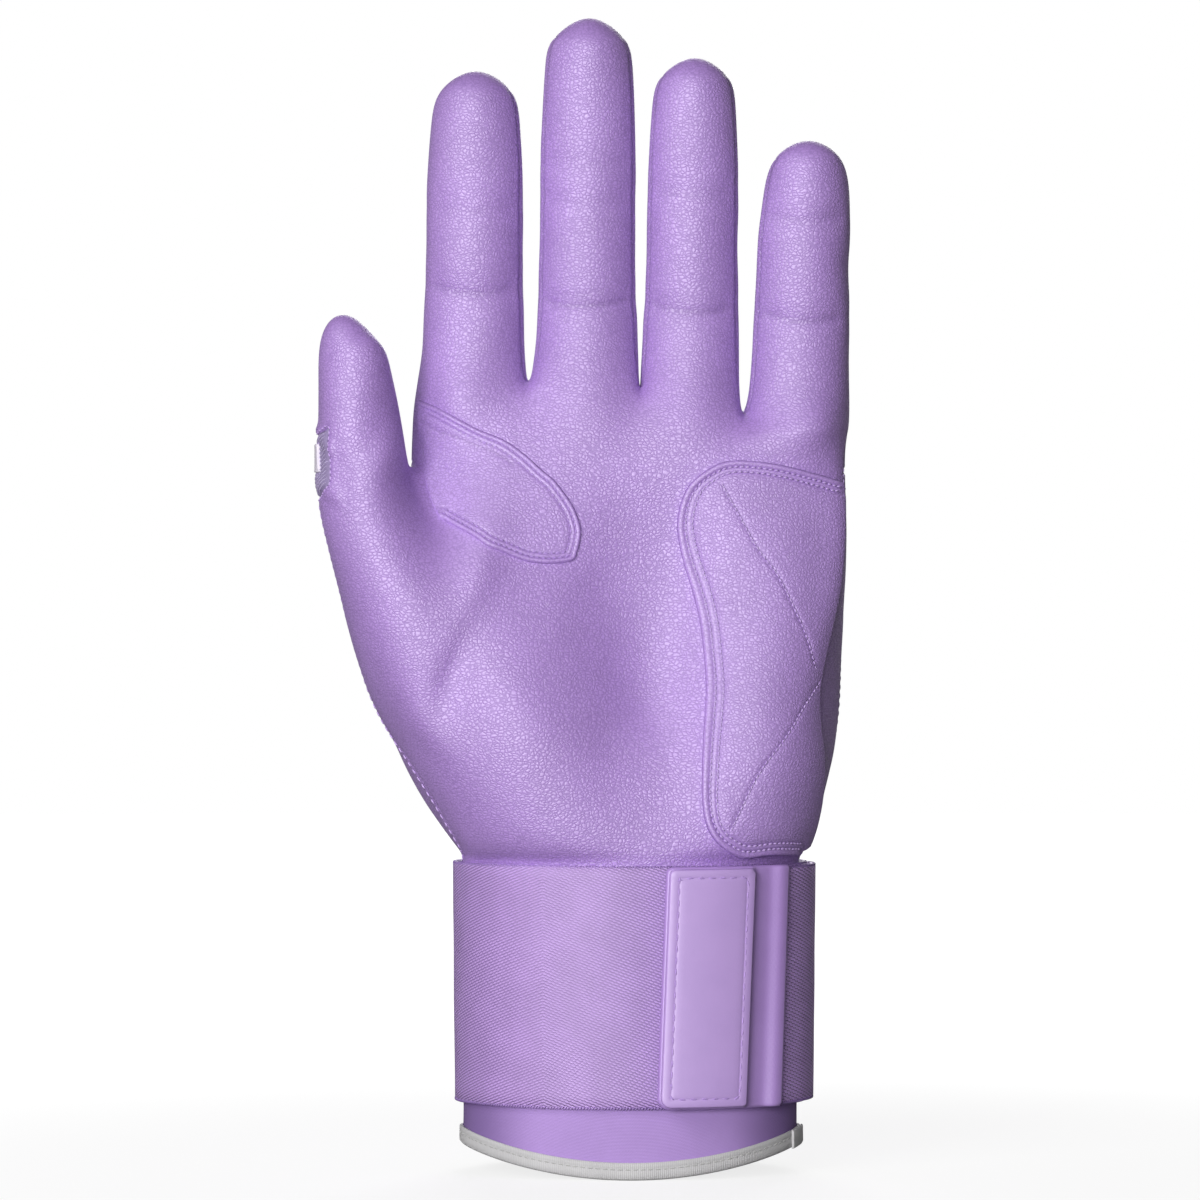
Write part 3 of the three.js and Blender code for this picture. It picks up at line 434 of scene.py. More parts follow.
def fingerFaces(net, i, roots, webPoints):
    finger = fingers[i]
    width = finger["width"] * palmWidth
    base = upAt(finger["rootUp"])
    tipUp = base + finger["length"]
    straight = tipUp - hand["tipStart"] * width - base
    first, second = finger["creases"]

    def centre(height):
        share = (height - base) / (tipUp - base)
        x = palmWidth * (finger["root"] + (finger["tip"] - finger["root"]) * share)
        return x, hand["fingerBack"] * palmDepth - hand["fingerFlex"] * share ** hand["flexPower"]

    def ringAt(height, halfWidth, halfDepth):
        x, y = centre(height)
        return [net.point(x + halfWidth * math.sin(turn), y - halfDepth * math.cos(turn), height)
                for turn in cornerTurns]

    front, back = roots["front"][2 * i:2 * i + 3], roots["back"][2 * i:2 * i + 3]
    leftSide = roots["left"] if i == 0 else webPoints[i - 1]
    rightSide = roots["right"] if i == len(fingers) - 1 else webPoints[i]
    rings = [[*front, rightSide, back[2], back[1], back[0], leftSide]]
    along = (hand["firstRing"], first, (first + second) / 2, second, 1)
    for share, wide, deep in zip(along, ringWidths, ringDepths):
        rings.append(ringAt(base + share * straight, wide * width / 2, deep * width / 2))
    tipSize = tipRing["width"] * width / 2, tipRing["depth"] * width / 2
    rings.append(ringAt(tipUp - tipRing["down"] * width, *tipSize))
    palm, behind = "palm_leather", fingerBacks[i]
    leftStrip, rightStrip = [None, *fourchettes, None][i:i + 2]

    def ownerAt(k):
        right = rightStrip or (palm if k == 2 else behind)
        left = leftStrip or (palm if k == 7 else behind)
        four = {2: [palm, right, right, palm], 3: [right, behind, behind, right],
                6: [behind, left, left, behind], 7: [left, palm, palm, left]}
        return four.get(k, palm if k < 2 else behind)

    for low, high in zip(rings, rings[1:]):
        net.join(low, high, ownerAt)
    last = rings[-1]
    tip = net.point(*centre(tipUp), tipUp)
    for k in (1, 3, 5, 7):
        net.face([last[k], last[(k + 1) % 8], last[(k + 2) % 8], tip], palm if k in (1, 7) else behind)


def thumbFaces(net, rings):
    low, middle, high = rings[-4], rings[-3], rings[-2]
    root = [low["left"], low["front"][0], middle["front"][0], high["front"][0],
            high["left"], high["back"][0], middle["back"][0], low["back"][0]]
    loops = [root]

    def place(share):
        return -share[0] * hand["thumbReach"], upAt(hand["thumbRoot"]) + share[1] * hand["thumbLength"]

    for outer, inner, forward, deep in thumbRings:
        (outerX, outerZ), (innerX, innerZ) = place(outer), place(inner)
        loop = []
        for k in range(8):
            turn = k * math.pi / 4
            share = (1 + math.cos(turn)) / 2
            y = -hand["thumbDepth"] * (forward + deep * math.sin(turn))
            loop.append(net.point(innerX + (outerX - innerX) * share, y, innerZ + (outerZ - innerZ) * share))
        loops.append(loop)
    for r in range(1, len(loops)):
        behind = "back_leather" if r < 3 else "thumb_flex" if r == 3 else "thumb_back"

        def ownerAt(k, r=r, behind=behind):
            if k == 0:
                return "thumb_flex" if r == 3 else "palm_leather"
            if k == 4:
                return ["palm_leather", behind, behind, "palm_leather"]
            return "palm_leather" if k < 4 else behind

        net.join(loops[r - 1], loops[r], ownerAt)
    x, z = place(thumbTip[:2])
    tip = net.point(x, -thumbTip[2] * hand["thumbDepth"], z)
    last = loops[-1]
    for k in (0, 2, 4, 6):
        net.face([last[k], last[k + 1], last[(k + 2) % 8], tip], "palm_leather" if k < 4 else "thumb_back")


def drawHandNet():
    net = HandNet()
    places = rootColumns()
    rings = [palmRing(net, row, level, places) for row, level in enumerate(palmLevels)]
    for (row, side), place in thumbHole.items():
        n = rings[row][side] if side == "left" else rings[row][side][0]
        net.points[n] = inPalm(*place)
    net.points[rings[-2]["front"][1]] = inPalm(*besideThumb)
    roots = rootRing(net, places)
    webPoints = [net.point(*inPalm(across, hand["webBack"], up)) for across, up in webs]
    rings.append(roots)
    palmFaces(net, rings)
    for i in range(len(fingers)):
        fingerFaces(net, i, roots, webPoints)
    thumbFaces(net, rings)
    names = sorted({owner for four in net.owners for owner in four})
    owners = np.array([[names.index(owner) for owner in four] for four in net.owners])
    return np.array(net.points, float), np.array(net.faces), owners, names


# Small helpers for arrays of points
def unit(vectors):
    return vectors / np.maximum(np.linalg.norm(vectors, axis=-1, keepdims=True), 1e-9)


# Catmull-Clark subdivision on whole arrays
def edgeTable(faces):
    pairs = np.sort(np.stack([faces, np.roll(faces, -1, axis=1)], axis=2).reshape(-1, 2), axis=1)
    unique, which, uses = np.unique(pairs, axis=0, return_inverse=True, return_counts=True)
    return unique, which.reshape(-1), uses


# The points on the open rim, and the sums of each one's two neighbours there
def rimSums(points, edges, uses):
    rim = edges[uses == 1]
    beside = np.zeros_like(points)
    for a, b in ((0, 1), (1, 0)):
        np.add.at(beside, rim[:, a], points[rim[:, b]])
    border = np.unique(rim)
    return border, beside[border]


def limitPoints(points, faces):
    edges, _, uses = edgeTable(faces)
    count = np.bincount(faces.ravel(), minlength=len(points))[:, None]
    total = count * count * points
    for a, b in ((0, 1), (1, 0)):
        np.add.at(total, edges[:, a], 4 * points[edges[:, b]])
    for c in range(4):
        np.add.at(total, faces[:, c], points[faces[:, (c + 2) % 4]])
    total = total / (count * (count + 5))
    border, beside = rimSums(points, edges, uses)
    total[border] = (4 * points[border] + beside) / 6
    return total


def refine(points, faces, owners):
    edges, which, uses = edgeTable(faces)
    facePoints = points[faces].mean(axis=1)
    edgeSum = points[edges].sum(axis=1)
    beside = np.zeros_like(edgeSum)
    np.add.at(beside, which, np.repeat(facePoints, 4, axis=0))
    edgePoints = np.where(uses[:, None] == 2, (edgeSum + beside) / 4, edgeSum / 2)
    count = np.bincount(faces.ravel(), minlength=len(points))[:, None]
    moved = np.zeros_like(points)
    np.add.at(moved, faces.ravel(), np.repeat(facePoints, 4, axis=0))
    np.add.at(moved, edges[:, 0], edgeSum)
    np.add.at(moved, edges[:, 1], edgeSum)
    moved = (moved / count + (count - 3) * points) / count
    border, beside = rimSums(points, edges, uses)
    moved[border] = (6 * points[border] + beside) / 8
    middle = np.repeat(len(points) + np.arange(len(faces)), 4).reshape(-1, 4)
    onEdges = (len(points) + len(faces) + which).reshape(-1, 4)
    finer = np.stack([faces, onEdges, middle, np.roll(onEdges, 1, axis=1)], axis=2)
    return np.concatenate([moved, facePoints, edgePoints]), finer.reshape(-1, 4), owners.reshape(-1)


def surfaceNormals(points, faces):
    a, b, c, d = (points[faces[:, i]] for i in range(4))
    across = np.cross(c - a, d - b)
    normals = np.zeros_like(points)
    for i in range(4):
        np.add.at(normals, faces[:, i], across)
    return unit(normals)


# The skin passes through the net's points. Its last step but one is kept for the inner side
# of the leather.
def growSkin(levels, passes=10):
    goal, faces, owners, names = drawHandNet()
    points = goal.copy()
    for _ in range(passes):
        points += goal - limitPoints(points, faces)
    for level in range(levels):
        coarse = faces, owners
        points, faces, owners = refine(points, faces, owners)
        if level < levels - 1:
            owners = np.repeat(owners[:, None], 4, axis=1)
    coarseFaces, coarseOwners = coarse
    edges, _, _ = edgeTable(coarseFaces)
    middles = coarseFaces.max() + 1 + len(coarseFaces) + np.arange(len(edges))
    skin = {"faces": faces, "owners": owners, "names": names, "points": limitPoints(points, faces),
            "coarseFaces": coarseFaces, "coarseOwners": coarseOwners[:, 0],
            "middles": dict(zip(map(tuple, edges.tolist()), middles.tolist()))}
    skin["normals"] = surfaceNormals(skin["points"], faces)
    return skin


skin = growSkin(4)
print("skin of", len(skin["faces"]), "faces")


def pointsOf(name):
    return skin["points"][np.unique(skin["faces"][skin["owners"] == skin["names"].index(name)])]


def seamOf(first, second):
    edges, owners = skin["seams"]
    pair = sorted(skin["names"].index(name) for name in (first, second))
    return edges[(owners == pair).all(axis=1)]


# The line of sight through a place in the photograph
def sightLine(column, row):
    across, up = column - view["axisColumn"], view["groundRow"] - row
    return viewPoint, np.array([across * view["pixel"], 0, up * view["pixel"]]) - viewPoint


def treeOf(points, faces):
    return BVHTree.FromPolygons(points.tolist(), faces.tolist())


# A place on a face of the skin, with the smooth normal there
def placeOn(face, place):
    place = np.array(place)
    corners = skin["faces"][face]
    weights = 1 / (np.sum((skin["points"][corners] - place) ** 2, axis=1) + 1e-6)
    return place, unit(weights @ skin["normals"][corners])


def meet(tree, start, direction):
    place, _, face, _ = tree.ray_cast(Vector(start), Vector(direction))
    return None if place is None else placeOn(face, place)


def spline(points, step):
    points = np.array(points, float)
    ends = np.vstack([2 * points[0] - points[1], points, 2 * points[-1] - points[-2]])
    found = []
    for a, b, c, d in zip(ends, ends[1:], ends[2:], ends[3:]):
        count = max(1, round(np.linalg.norm(c - b) / step))
        t = np.arange(count)[:, None] / count
        found.append(0.5 * (2 * b + (c - a) * t + (2 * a - 5 * b + 4 * c - d) * t * t
                            + (3 * b - a - 3 * c + d) * t ** 3))
    return np.vstack([*found, points[-1:]])


# A line drawn in the photograph, laid on the skin
def traceLine(tree, pixels, step=1.5):
    found = [meet(tree, *sightLine(column, row)) for column, row in spline(pixels, step)]
    return np.array([hit[0] for hit in found if hit is not None])


def gaps(points):
    return np.linalg.norm(np.diff(points, axis=0), axis=1)


def runLengths(points):
    return np.concatenate([[0], np.cumsum(gaps(points))])


def evenly(points, step):
    along = runLengths(points)
    marks = np.linspace(0, along[-1], max(2, round(along[-1] / step) + 1))
    return np.column_stack([np.interp(marks, along, column) for column in points.T])


def smoothStep(value):
    value = np.clip(value, 0, 1)
    return value * value * (3 - 2 * value)


def bell(away, wide):
    return np.exp(-(away / wide) ** 2)


# Distances from a set of points, and which of them is nearest
class Nearest:
    def __init__(self, points):
        self.tree = KDTree(len(points))
        for i, point in enumerate(points):
            self.tree.insert(Vector(point), i)
        self.tree.balance()

    def find(self, points):
        found = [self.tree.find(Vector(point)) for point in points]
        return np.array([f[2] for f in found]), np.array([f[1] for f in found])


# The leather's relief: heights in millimetres along the skin's normals
relief = {
    "seam": {"deep": 0.38, "wide": 0.42, "shoulder": 0.08, "shoulderAt": 1.3, "shoulderWide": 0.7,
             "atTips": 0.25, "calmFrom": 9, "calmOver": 10},
    # creaseEnds also sets how strongly a crease's painted shade darkens the leather's colour
    "creaseEnds": {"least": 0.25, "over": 0.14, "pressed": 1.5},
    "ripple": [(0.16, 26), (0.1, 9)],  # height and wave length
    "creases": [  # pixels, depth and width of the fold, depth and width of its valley
        ([(424, 205), (470, 212), (524, 204)], 0.12, 1.0, 0.32, 3.6),
        ([(424, 284), (472, 294), (527, 286)], 0.3, 0.9, 0.55, 3.4),
        ([(540, 160), (588, 166), (634, 160)], 0.1, 1.0, 0.26, 3.2),
        ([(539, 196), (588, 203), (635, 197)], 0.1, 1.0, 0.3, 3.2),
        ([(539, 297), (562, 305), (600, 305), (636, 298)], 0.42, 0.6, 0.5, 2.8),
        ([(545, 289), (563, 295), (588, 296)], 0.14, 0.5, 0, 1),
        ([(647, 188), (692, 195), (738, 190)], 0.12, 1.0, 0.34, 3.2),
        ([(645, 301), (668, 309), (704, 313), (736, 306)], 0.42, 0.6, 0.5, 2.8),
        ([(652, 293), (670, 299), (690, 301)], 0.12, 0.5, 0, 1),
        ([(760, 214), (806, 222), (850, 214)], 0.14, 1.0, 0.36, 3.2),
        ([(756, 312), (803, 322), (850, 316)], 0.36, 0.65, 0.5, 2.9),
        ([(412, 468), (421, 494), (431, 514), (440, 530)], 0.2, 1.2, 0.7, 5.0),
        ([(330, 452), (345, 470), (338, 492)], 0, 1, 0.3, 2.2),
        ([(352, 330), (362, 372), (372, 420)], 0, 1, 0.1, 5),
        ([(585, 560), (630, 640), (634, 700), (600, 770)], 0, 1, 0.45, 8),
    ],
    "folds": [  # pixels, rise and width
        ([(313, 424), (322, 436), (331, 450)], 0.55, 1.3),
        ([(313, 474), (326, 485), (338, 493)], 0.5, 1.2),
        ([(318, 486), (328, 495), (339, 501)], 0.4, 1.0),
        ([(350, 324), (358, 332), (364, 341)], 1.3, 5.0),
        ([(836, 234), (845, 248), (849, 262)], -0.4, 5.0),
    ],
}


# The edges between two pieces, and which two
def seamEdges():
    edges, which, uses = edgeTable(skin["faces"])
    owners = np.repeat(skin["owners"], 4)
    low = np.full(len(edges), len(skin["names"]))
    high = np.full(len(edges), -1)
    np.minimum.at(low, which, owners)
    np.maximum.at(high, which, owners)
    sewn = (low != high) & (uses == 2)
    return edges[sewn], np.column_stack([low, high])[sewn]


def shapeSkin():
    points, normals = skin["points"], skin["normals"]
    tree = treeOf(points, skin["faces"])
    height = np.zeros(len(points))
    for rise, wave in relief["ripple"]:
        for i, point in enumerate(points):
            height[i] += rise * noise.noise(Vector(point) / wave)
    edges, _ = skin["seams"] = seamEdges()
    ends = points[edges]
    away, _ = Nearest(np.vstack([ends[:, 0], ends[:, 1], ends.mean(axis=1)])).find(points)
    seam = relief["seam"]
    backs = [pointsOf(name) for name in (*fingerBacks, "thumb_back")]
    fromTip, _ = Nearest(np.array([mine[np.argmax(mine[:, 2])] for mine in backs])).find(points)
    calm = smoothStep((fromTip - seam["calmFrom"]) / seam["calmOver"])
    calm = seam["atTips"] + (1 - seam["atTips"]) * calm
    height -= calm * seam["deep"] * bell(away, seam["wide"])
    height += calm * seam["shoulder"] * bell(away - seam["shoulderAt"], seam["shoulderWide"])
    # The leather's colour darkens along its seams, as pressed leather, and in its creases, as painted shade
    skin["pressed"] = bell(away, seam["wide"])
    ends = relief["creaseEnds"]
    for pixels, deep, wide, valley, spread in relief["creases"]:
        line = traceLine(tree, pixels)
        away, index = Nearest(line).find(points)
        fade = smoothStep(np.minimum(index, len(line) - 1 - index) / (ends["over"] * len(line)))
        fade = ends["least"] + (1 - ends["least"]) * fade
        fold = fade * bell(away, wide)
        height -= deep * fold + fade * valley * bell(away, spread)
        # Painted shade: each crease darkens the leather's colour by its depth
        skin["pressed"] = np.maximum(skin["pressed"], ends["pressed"] * deep * fold)
    for pixels, rise, wide in relief["folds"]:
        away, _ = Nearest(traceLine(tree, pixels)).find(points)
        height += rise * bell(away, wide)
    skin["shaped"] = points + normals * height[:, None]


shapeSkin()
skinTree = treeOf(skin["shaped"], skin["faces"])
print("leather's relief")


def makeObject(name, points, faces, material, sharp=55):
    mesh = bpy.data.meshes.new(name)
    mesh.from_pydata((np.asarray(points) * mm).tolist(), [], [list(face) for face in faces])
    mesh.materials.append(material)
    mesh.shade_smooth()
    mesh.set_sharp_from_angle(angle=math.radians(sharp))
    return addObject(name, mesh)


# Marks are numbers on a piece's points that its material reads
def mark(piece, **marks):
    for name, values in marks.items():
        attribute = piece.data.attributes.new(name, "FLOAT", "POINT")
        attribute.data.foreach_set("value", np.asarray(values, np.float32))


def standFor(piece, node, body):
    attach(piece, body)
    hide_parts(node)


# A cut piece of leather or stretch fabric: a patch of the skin with a thickness. Its edge is
# turned down into the seam.
def makePanel(name, thickness, material):
    owner = skin["names"].index(name)
    outer = skin["faces"][skin["owners"] == owner]
    inner = skin["coarseFaces"][skin["coarseOwners"] == owner]
    upper, lower = np.unique(outer), np.unique(inner)
    upperAt = {n: i for i, n in enumerate(upper.tolist())}
    lowerAt = {n: i + len(upper) for i, n in enumerate(lower.tolist())}
    under = skin["points"] - thickness * skin["normals"]
    points = np.vstack([skin["shaped"][upper], under[lower]])
    faces = [[upperAt[n] for n in face] for face in outer.tolist()]
    faces += [[lowerAt[n] for n in reversed(face)] for face in inner.tolist()]
    directed = {(a, b) for face in inner.tolist() for a, b in zip(face, face[1:] + face[:1])}
    for a, b in directed:
        if (b, a) not in directed:
            middle = skin["middles"][min(a, b), max(a, b)]
            faces.append([upperAt[b], upperAt[middle], upperAt[a], lowerAt[a], lowerAt[b]])
    title = name.replace("_", " ").title().replace(" ", "") + "Panel"
    piece = makeObject(title, points, faces, material)
    mark(piece, pressed=[*skin["pressed"][upper], *np.ones(len(lower))])
    standFor(piece, name, "glove")


# Colours that go into node trees are three numbers, or a socket
def blendColour(tree, share, low, high):
    low, high = (c if isinstance(c, bpy.types.NodeSocket) else (*c, 1) for c in (low, high))
    return addNode(tree, "ShaderNodeMix", {0: share, 6: low, 7: high}, data_type="RGBA").outputs[2]


def shade(colour, share):
    return tuple(share * c for c in colour)


def noiseAt(tree, vector, scale, detail, roughness=0.5, output="Fac"):
    inputs = {"Vector": vector, "Scale": scale, "Detail": detail, "Roughness": roughness}
    return addNode(tree, "ShaderNodeTexNoise", inputs).outputs[output]


# Rounded pebbles of leather with creases between them, wider than they are tall
pebbles = {"squash": (1.0, 1.0, 1.35), "warpScale": 0.5, "warp": 1.5, "randomness": 0.9, "dome": 0.42,
           "creaseShare": 0.35, "domeShare": 0.65, "fineScale": 2.4, "fine": 0.12}


def makePebbleGrain():
    tree, given, out = startGroup("pebbleGrain", {"Vector": "Vector", "Cell": "Float", "Softness": "Float"},
                                  {"Height": "Float", "Crevice": "Float"})
    place = vectorCalc(tree, "MULTIPLY", given["Vector"], pebbles["squash"])
    place = vectorCalc(tree, "SCALE", place, Scale=calc(tree, "DIVIDE", 1.0, given["Cell"]))
    warp = noiseAt(tree, place, pebbles["warpScale"], 2.0, output="Color")
    warp = vectorCalc(tree, "SUBTRACT", warp, (0.5, 0.5, 0.5))
    place = vectorCalc(tree, "ADD", place, vectorCalc(tree, "SCALE", warp, Scale=pebbles["warp"]))
    inputs = {"Vector": place, "Scale": 1.0, "Randomness": pebbles["randomness"]}
    edge = addNode(tree, "ShaderNodeTexVoronoi", inputs, feature="DISTANCE_TO_EDGE").outputs["Distance"]
    crease = remap(tree, edge, 0.0, given["Softness"])
    dome = calc(tree, "MULTIPLY", remap(tree, edge, 0.0, pebbles["dome"]), pebbles["domeShare"])
    pebble = calc(tree, "MULTIPLY_ADD", crease, pebbles["creaseShare"], dome)
    fine = noiseAt(tree, place, pebbles["fineScale"], 2.0)
    feed(tree, out, {"Height": calc(tree, "MULTIPLY_ADD", fine, pebbles["fine"], pebble),
                     "Crevice": calc(tree, "SUBTRACT", 1.0, crease)})
    return tree


# Slow drift of tone over a surface
def makeSoftMottle():
    tree, given, out = startGroup("softMottle", {"Vector": "Vector", "Patch": "Float"}, {"Tone": "Float"})
    place = vectorCalc(tree, "SCALE", given["Vector"], Scale=calc(tree, "DIVIDE", 1.0, given["Patch"]))
    feed(tree, out, {"Tone": remap(tree, noiseAt(tree, place, 1.0, 4.0, 0.6), 0.3, 0.7)})
    return tree


# Shares of a woven cell: a thread's edge beside the bridge, where it narrows, and where its
# rise and the hole start and end beside that edge
wovenCell = {"edge": 0.28, "narrowing": (0.15, 0.5), "rise": (0.04, -0.3), "hole": (-0.08, 0.06)}


# Sloping rows of short threads with dark holes between them. The slope turns over at the
# Apex and again one Turn further on. A wide Bridge parts the holes of a row.
def makeWovenCells():
    sizes = {key: "Float" for key in ("Across", "Along", "Slope", "Apex", "Turn", "Bridge")}
    tree, given, out = startGroup("wovenCells", {"Vector": "Vector", **sizes},
                                  {"Height": "Float", "Hole": "Float"})
    across, along = (axisOf(tree, given["Vector"], axis) for axis in "XY")
    away = calc(tree, "PINGPONG", calc(tree, "SUBTRACT", across, given["Apex"]), given["Turn"])
    row = calc(tree, "DIVIDE", calc(tree, "MULTIPLY_ADD", away, given["Slope"], along), given["Along"])
    odd = calc(tree, "MULTIPLY", calc(tree, "FLOORED_MODULO", calc(tree, "FLOOR", row), 2.0), 0.5)
    column = calc(tree, "ADD", calc(tree, "DIVIDE", across, given["Across"]), odd)
    x, y = (calc(tree, "ABSOLUTE", calc(tree, "SUBTRACT", calc(tree, "FRACT", cell), 0.5))
            for cell in (column, row))
    narrowing = calc(tree, "SUBTRACT", wovenCell["edge"], given["Bridge"])
    edge = calc(tree, "MULTIPLY_ADD", remap(tree, x, *wovenCell["narrowing"]), narrowing, given["Bridge"])
    rise, hole = (remap(tree, y, *(calc(tree, "ADD", edge, beside) for beside in wovenCell[key]))
                  for key in ("rise", "hole"))
    feed(tree, out, {"Height": rise, "Hole": hole})
    return tree


# Parallel ribs, one pitch apart along a direction
def makeRibWave():
    tree, given, out = startGroup("ribWave", {"Vector": "Vector", "Direction": "Vector", "Pitch": "Float"},
                                  {"Height": "Float"})
    along = vectorCalc(tree, "DOT_PRODUCT", given["Vector"], given["Direction"])
    turn = calc(tree, "MULTIPLY", calc(tree, "DIVIDE", along, given["Pitch"]), 2 * math.pi)
    feed(tree, out, {"Height": calc(tree, "MULTIPLY_ADD", calc(tree, "SINE", turn), 0.5, 0.5)})
    return tree


pebbleGrain = makePebbleGrain()
softMottle = makeSoftMottle()
wovenCells = makeWovenCells()
ribWave = makeRibWave()


# A material starts from its surface coordinates, and finish wires its colour, roughness and
# relief to the shader. Deep is the relief's depth in millimetres.
class Finish:
    def __init__(self, name, uv=False):
        self.material = bpy.data.materials.new(name)
        self.material.use_nodes = True
        self.tree = self.material.node_tree
        coordinates = addNode(self.tree, "ShaderNodeTexCoord").outputs
        self.place = coordinates["UV" if uv else "Object"]
        self.solid = coordinates["Object"]

    def mottled(self, patch, low, high):
        tone = useGroup(self.tree, softMottle, {"Vector": self.solid, "Patch": patch * mm})["Tone"]
        return blendColour(self.tree, tone, low, high)

    def finish(self, colour, roughness, height, deep, sheen=0.0, specular=0.5, ior=1.5,
               tint=(0.8, 0.7, 0.9)):
        inputs = {"Height": height, "Distance": deep * mm, "Strength": 1.0}
        bump = addNode(self.tree, "ShaderNodeBump", inputs)
        feed(self.tree, self.tree.nodes["Principled BSDF"], {
            "Base Color": colour, "Roughness": roughness, "Specular IOR Level": specular, "IOR": ior,
            "Sheen Weight": sheen, "Sheen Roughness": 0.35, "Sheen Tint": (*tint, 1),
            "Normal": bump.outputs["Normal"]})
        self.material.diffuse_color = (0.44, 0.285, 0.68, 1)
        return self.material


looks = {  # linear colours of the body and of its crevices, and sizes in millimetres
    "palm": {"high": (0.45, 0.256, 0.695), "low": (0.23, 0.105, 0.42), "cell": 0.92, "deep": 0.078},
    "pad": {"high": (0.475, 0.28, 0.725), "low": (0.25, 0.12, 0.44), "cell": 0.88, "deep": 0.088},
    "back": {"high": (0.45, 0.26, 0.68), "low": (0.25, 0.12, 0.44), "cell": 0.86, "deep": 0.095},
    "band": {"high": (0.59, 0.362, 0.84), "low": (0.19, 0.09, 0.35), "across": 0.95, "along": 0.63,
             "bridge": 0.44, "deep": 0.18, "open": (0.4, 1.0), "specular": 1.0},
    "strap": {"high": (0.72, 0.45, 1.0), "low": (0.03, 0.0, 0.13), "across": 0.98, "along": 0.78,
              "bridge": 0.58, "deep": 0.26, "open": (0.97, 0.97), "specular": 0.5},
}
leather = {
    "softness": 0.16,
    "patch": 14,
    "tones": (0.94, 1.04),
    "crevice": 0.62,
    # pressed leather along seams, and painted shade in creases, take on the crevice's colour
    "pressed": (0.75, 0.8),  # share, and tone of the crevice's colour
    "rolled": -0.75,
    "upward": (0.25, 0.6, 1.0, 0.12),  # the grain fades where the leather faces up
    "roughness": (0.57, 0.71),
}
chevron = {"Slope": 0.38, "Apex": -0.068, "Turn": 0.0984}  # in metres of the UV map
chevronFade = {"apex": 16, "reach": 22}
webbing = {"patch": 9, "tones": (0.92, 1.05), "fuzzScale": 6000.0, "fuzz": 0.15}
knitLook = {
    "cells": {"Across": 0.34 * mm, "Along": 0.3 * mm, "Slope": 0.0, "Apex": 0.0, "Turn": 1.0, "Bridge": 0.44},
    "patch": 12,
    "body": ((0.45, 0.29, 0.66), (0.48, 0.31, 0.7)),
    # The knit is darkened towards the sleeve's sides as painted shade: distances from the middle, the shade's
    # share there, and its colour
    "sides": (19 * mm, 34 * mm, 0.0, 0.8),  # distances from the middle, and the dark's share there
    "dark": (0.17, 0.1, 0.29),
    "holes": (0.35, (0.3, 0.19, 0.48)),  # share and colour
}
wear = {"pointiness": (0.52, 0.6), "share": 0.35, "tone": 1.12, "roughness": 0.06}


def makeLeather(name, look):
    f = Finish(name)
    tree = f.tree
    grain = useGroup(tree, pebbleGrain, {"Vector": f.place, "Cell": look["cell"] * mm,
                                         "Softness": leather["softness"]})
    body = f.mottled(leather["patch"], *(shade(look["high"], tone) for tone in leather["tones"]))
    crevice = calc(tree, "MULTIPLY", grain["Crevice"], leather["crevice"])
    colour = blendColour(tree, crevice, body, look["low"])
    pressed, rolled = (addNode(tree, "ShaderNodeAttribute", attribute_name=key).outputs["Fac"]
                       for key in ("pressed", "rolled"))
    share, tone = leather["pressed"]
    # Painted shade in the creases, and pressed leather along the seams and stitches, darken the colour
    colour = blendColour(tree, calc(tree, "MULTIPLY", pressed, share), colour, shade(look["low"], tone))
    flatness = calc(tree, "MULTIPLY_ADD", rolled, leather["rolled"], 1.0)
    upward = axisOf(tree, addNode(tree, "ShaderNodeNewGeometry").outputs["Normal"], "Z")
    height = calc(tree, "MULTIPLY", grain["Height"], flatness)
    height = calc(tree, "MULTIPLY", height, remap(tree, upward, *leather["upward"]))
    roughness = remap(tree, grain["Crevice"], 0.0, 1.0, *leather["roughness"])
    return f.finish(colour, roughness, height, look["deep"], specular=1.0, ior=1.85)


def makeElastic(name, look):
    f = Finish(name, uv=True)
    tree = f.tree
    sizes = {"Across": look["across"] * mm, "Along": look["along"] * mm, "Bridge": look["bridge"]}
    weave = useGroup(tree, wovenCells, {"Vector": f.place, **sizes, **chevron})
    fromApex = calc(tree, "ADD", axisOf(tree, f.solid, "X"), chevronFade["apex"] * mm)
    fromApex = calc(tree, "ABSOLUTE", fromApex)
    opened = remap(tree, fromApex, 0.0, chevronFade["reach"] * mm, *look["open"])
    body = f.mottled(webbing["patch"], *(shade(look["high"], tone) for tone in webbing["tones"]))
    colour = blendColour(tree, calc(tree, "MULTIPLY", weave["Hole"], opened), body, look["low"])
    fuzz = noiseAt(tree, f.solid, webbing["fuzzScale"], 1.0)
    height = calc(tree, "MULTIPLY_ADD", fuzz, webbing["fuzz"], weave["Height"])
    return f.finish(colour, 0.6, height, look["deep"], specular=look["specular"], ior=1.75)


def makeRibbed(name, low, high):
    f = Finish(name)
    knit = noiseAt(f.tree, f.place, 3500.0, 2.0)
    colour = blendColour(f.tree, knit, low, f.mottled(2.5, shade(high, 0.88), high))
    return f.finish(colour, 0.7, knit, 0.12, sheen=0.1, specular=0.6)


def makeSleeveKnit():
    f = Finish("sleeveKnit", uv=True)
    tree = f.tree
    knit = useGroup(tree, wovenCells, {"Vector": f.place, **knitLook["cells"]})
    body = f.mottled(knitLook["patch"], *knitLook["body"])
    # Painted shade: the knit turns darker towards the sleeve's sides
    fromMiddle = calc(tree, "ABSOLUTE", axisOf(tree, f.solid, "X"))
    body = blendColour(tree, remap(tree, fromMiddle, *knitLook["sides"]), body, knitLook["dark"])
    share, hole = knitLook["holes"]
    colour = blendColour(tree, calc(tree, "MULTIPLY", knit["Hole"], share), body, hole)
    return f.finish(colour, 0.7, knit["Height"], 0.035, specular=0.5, ior=1.45)


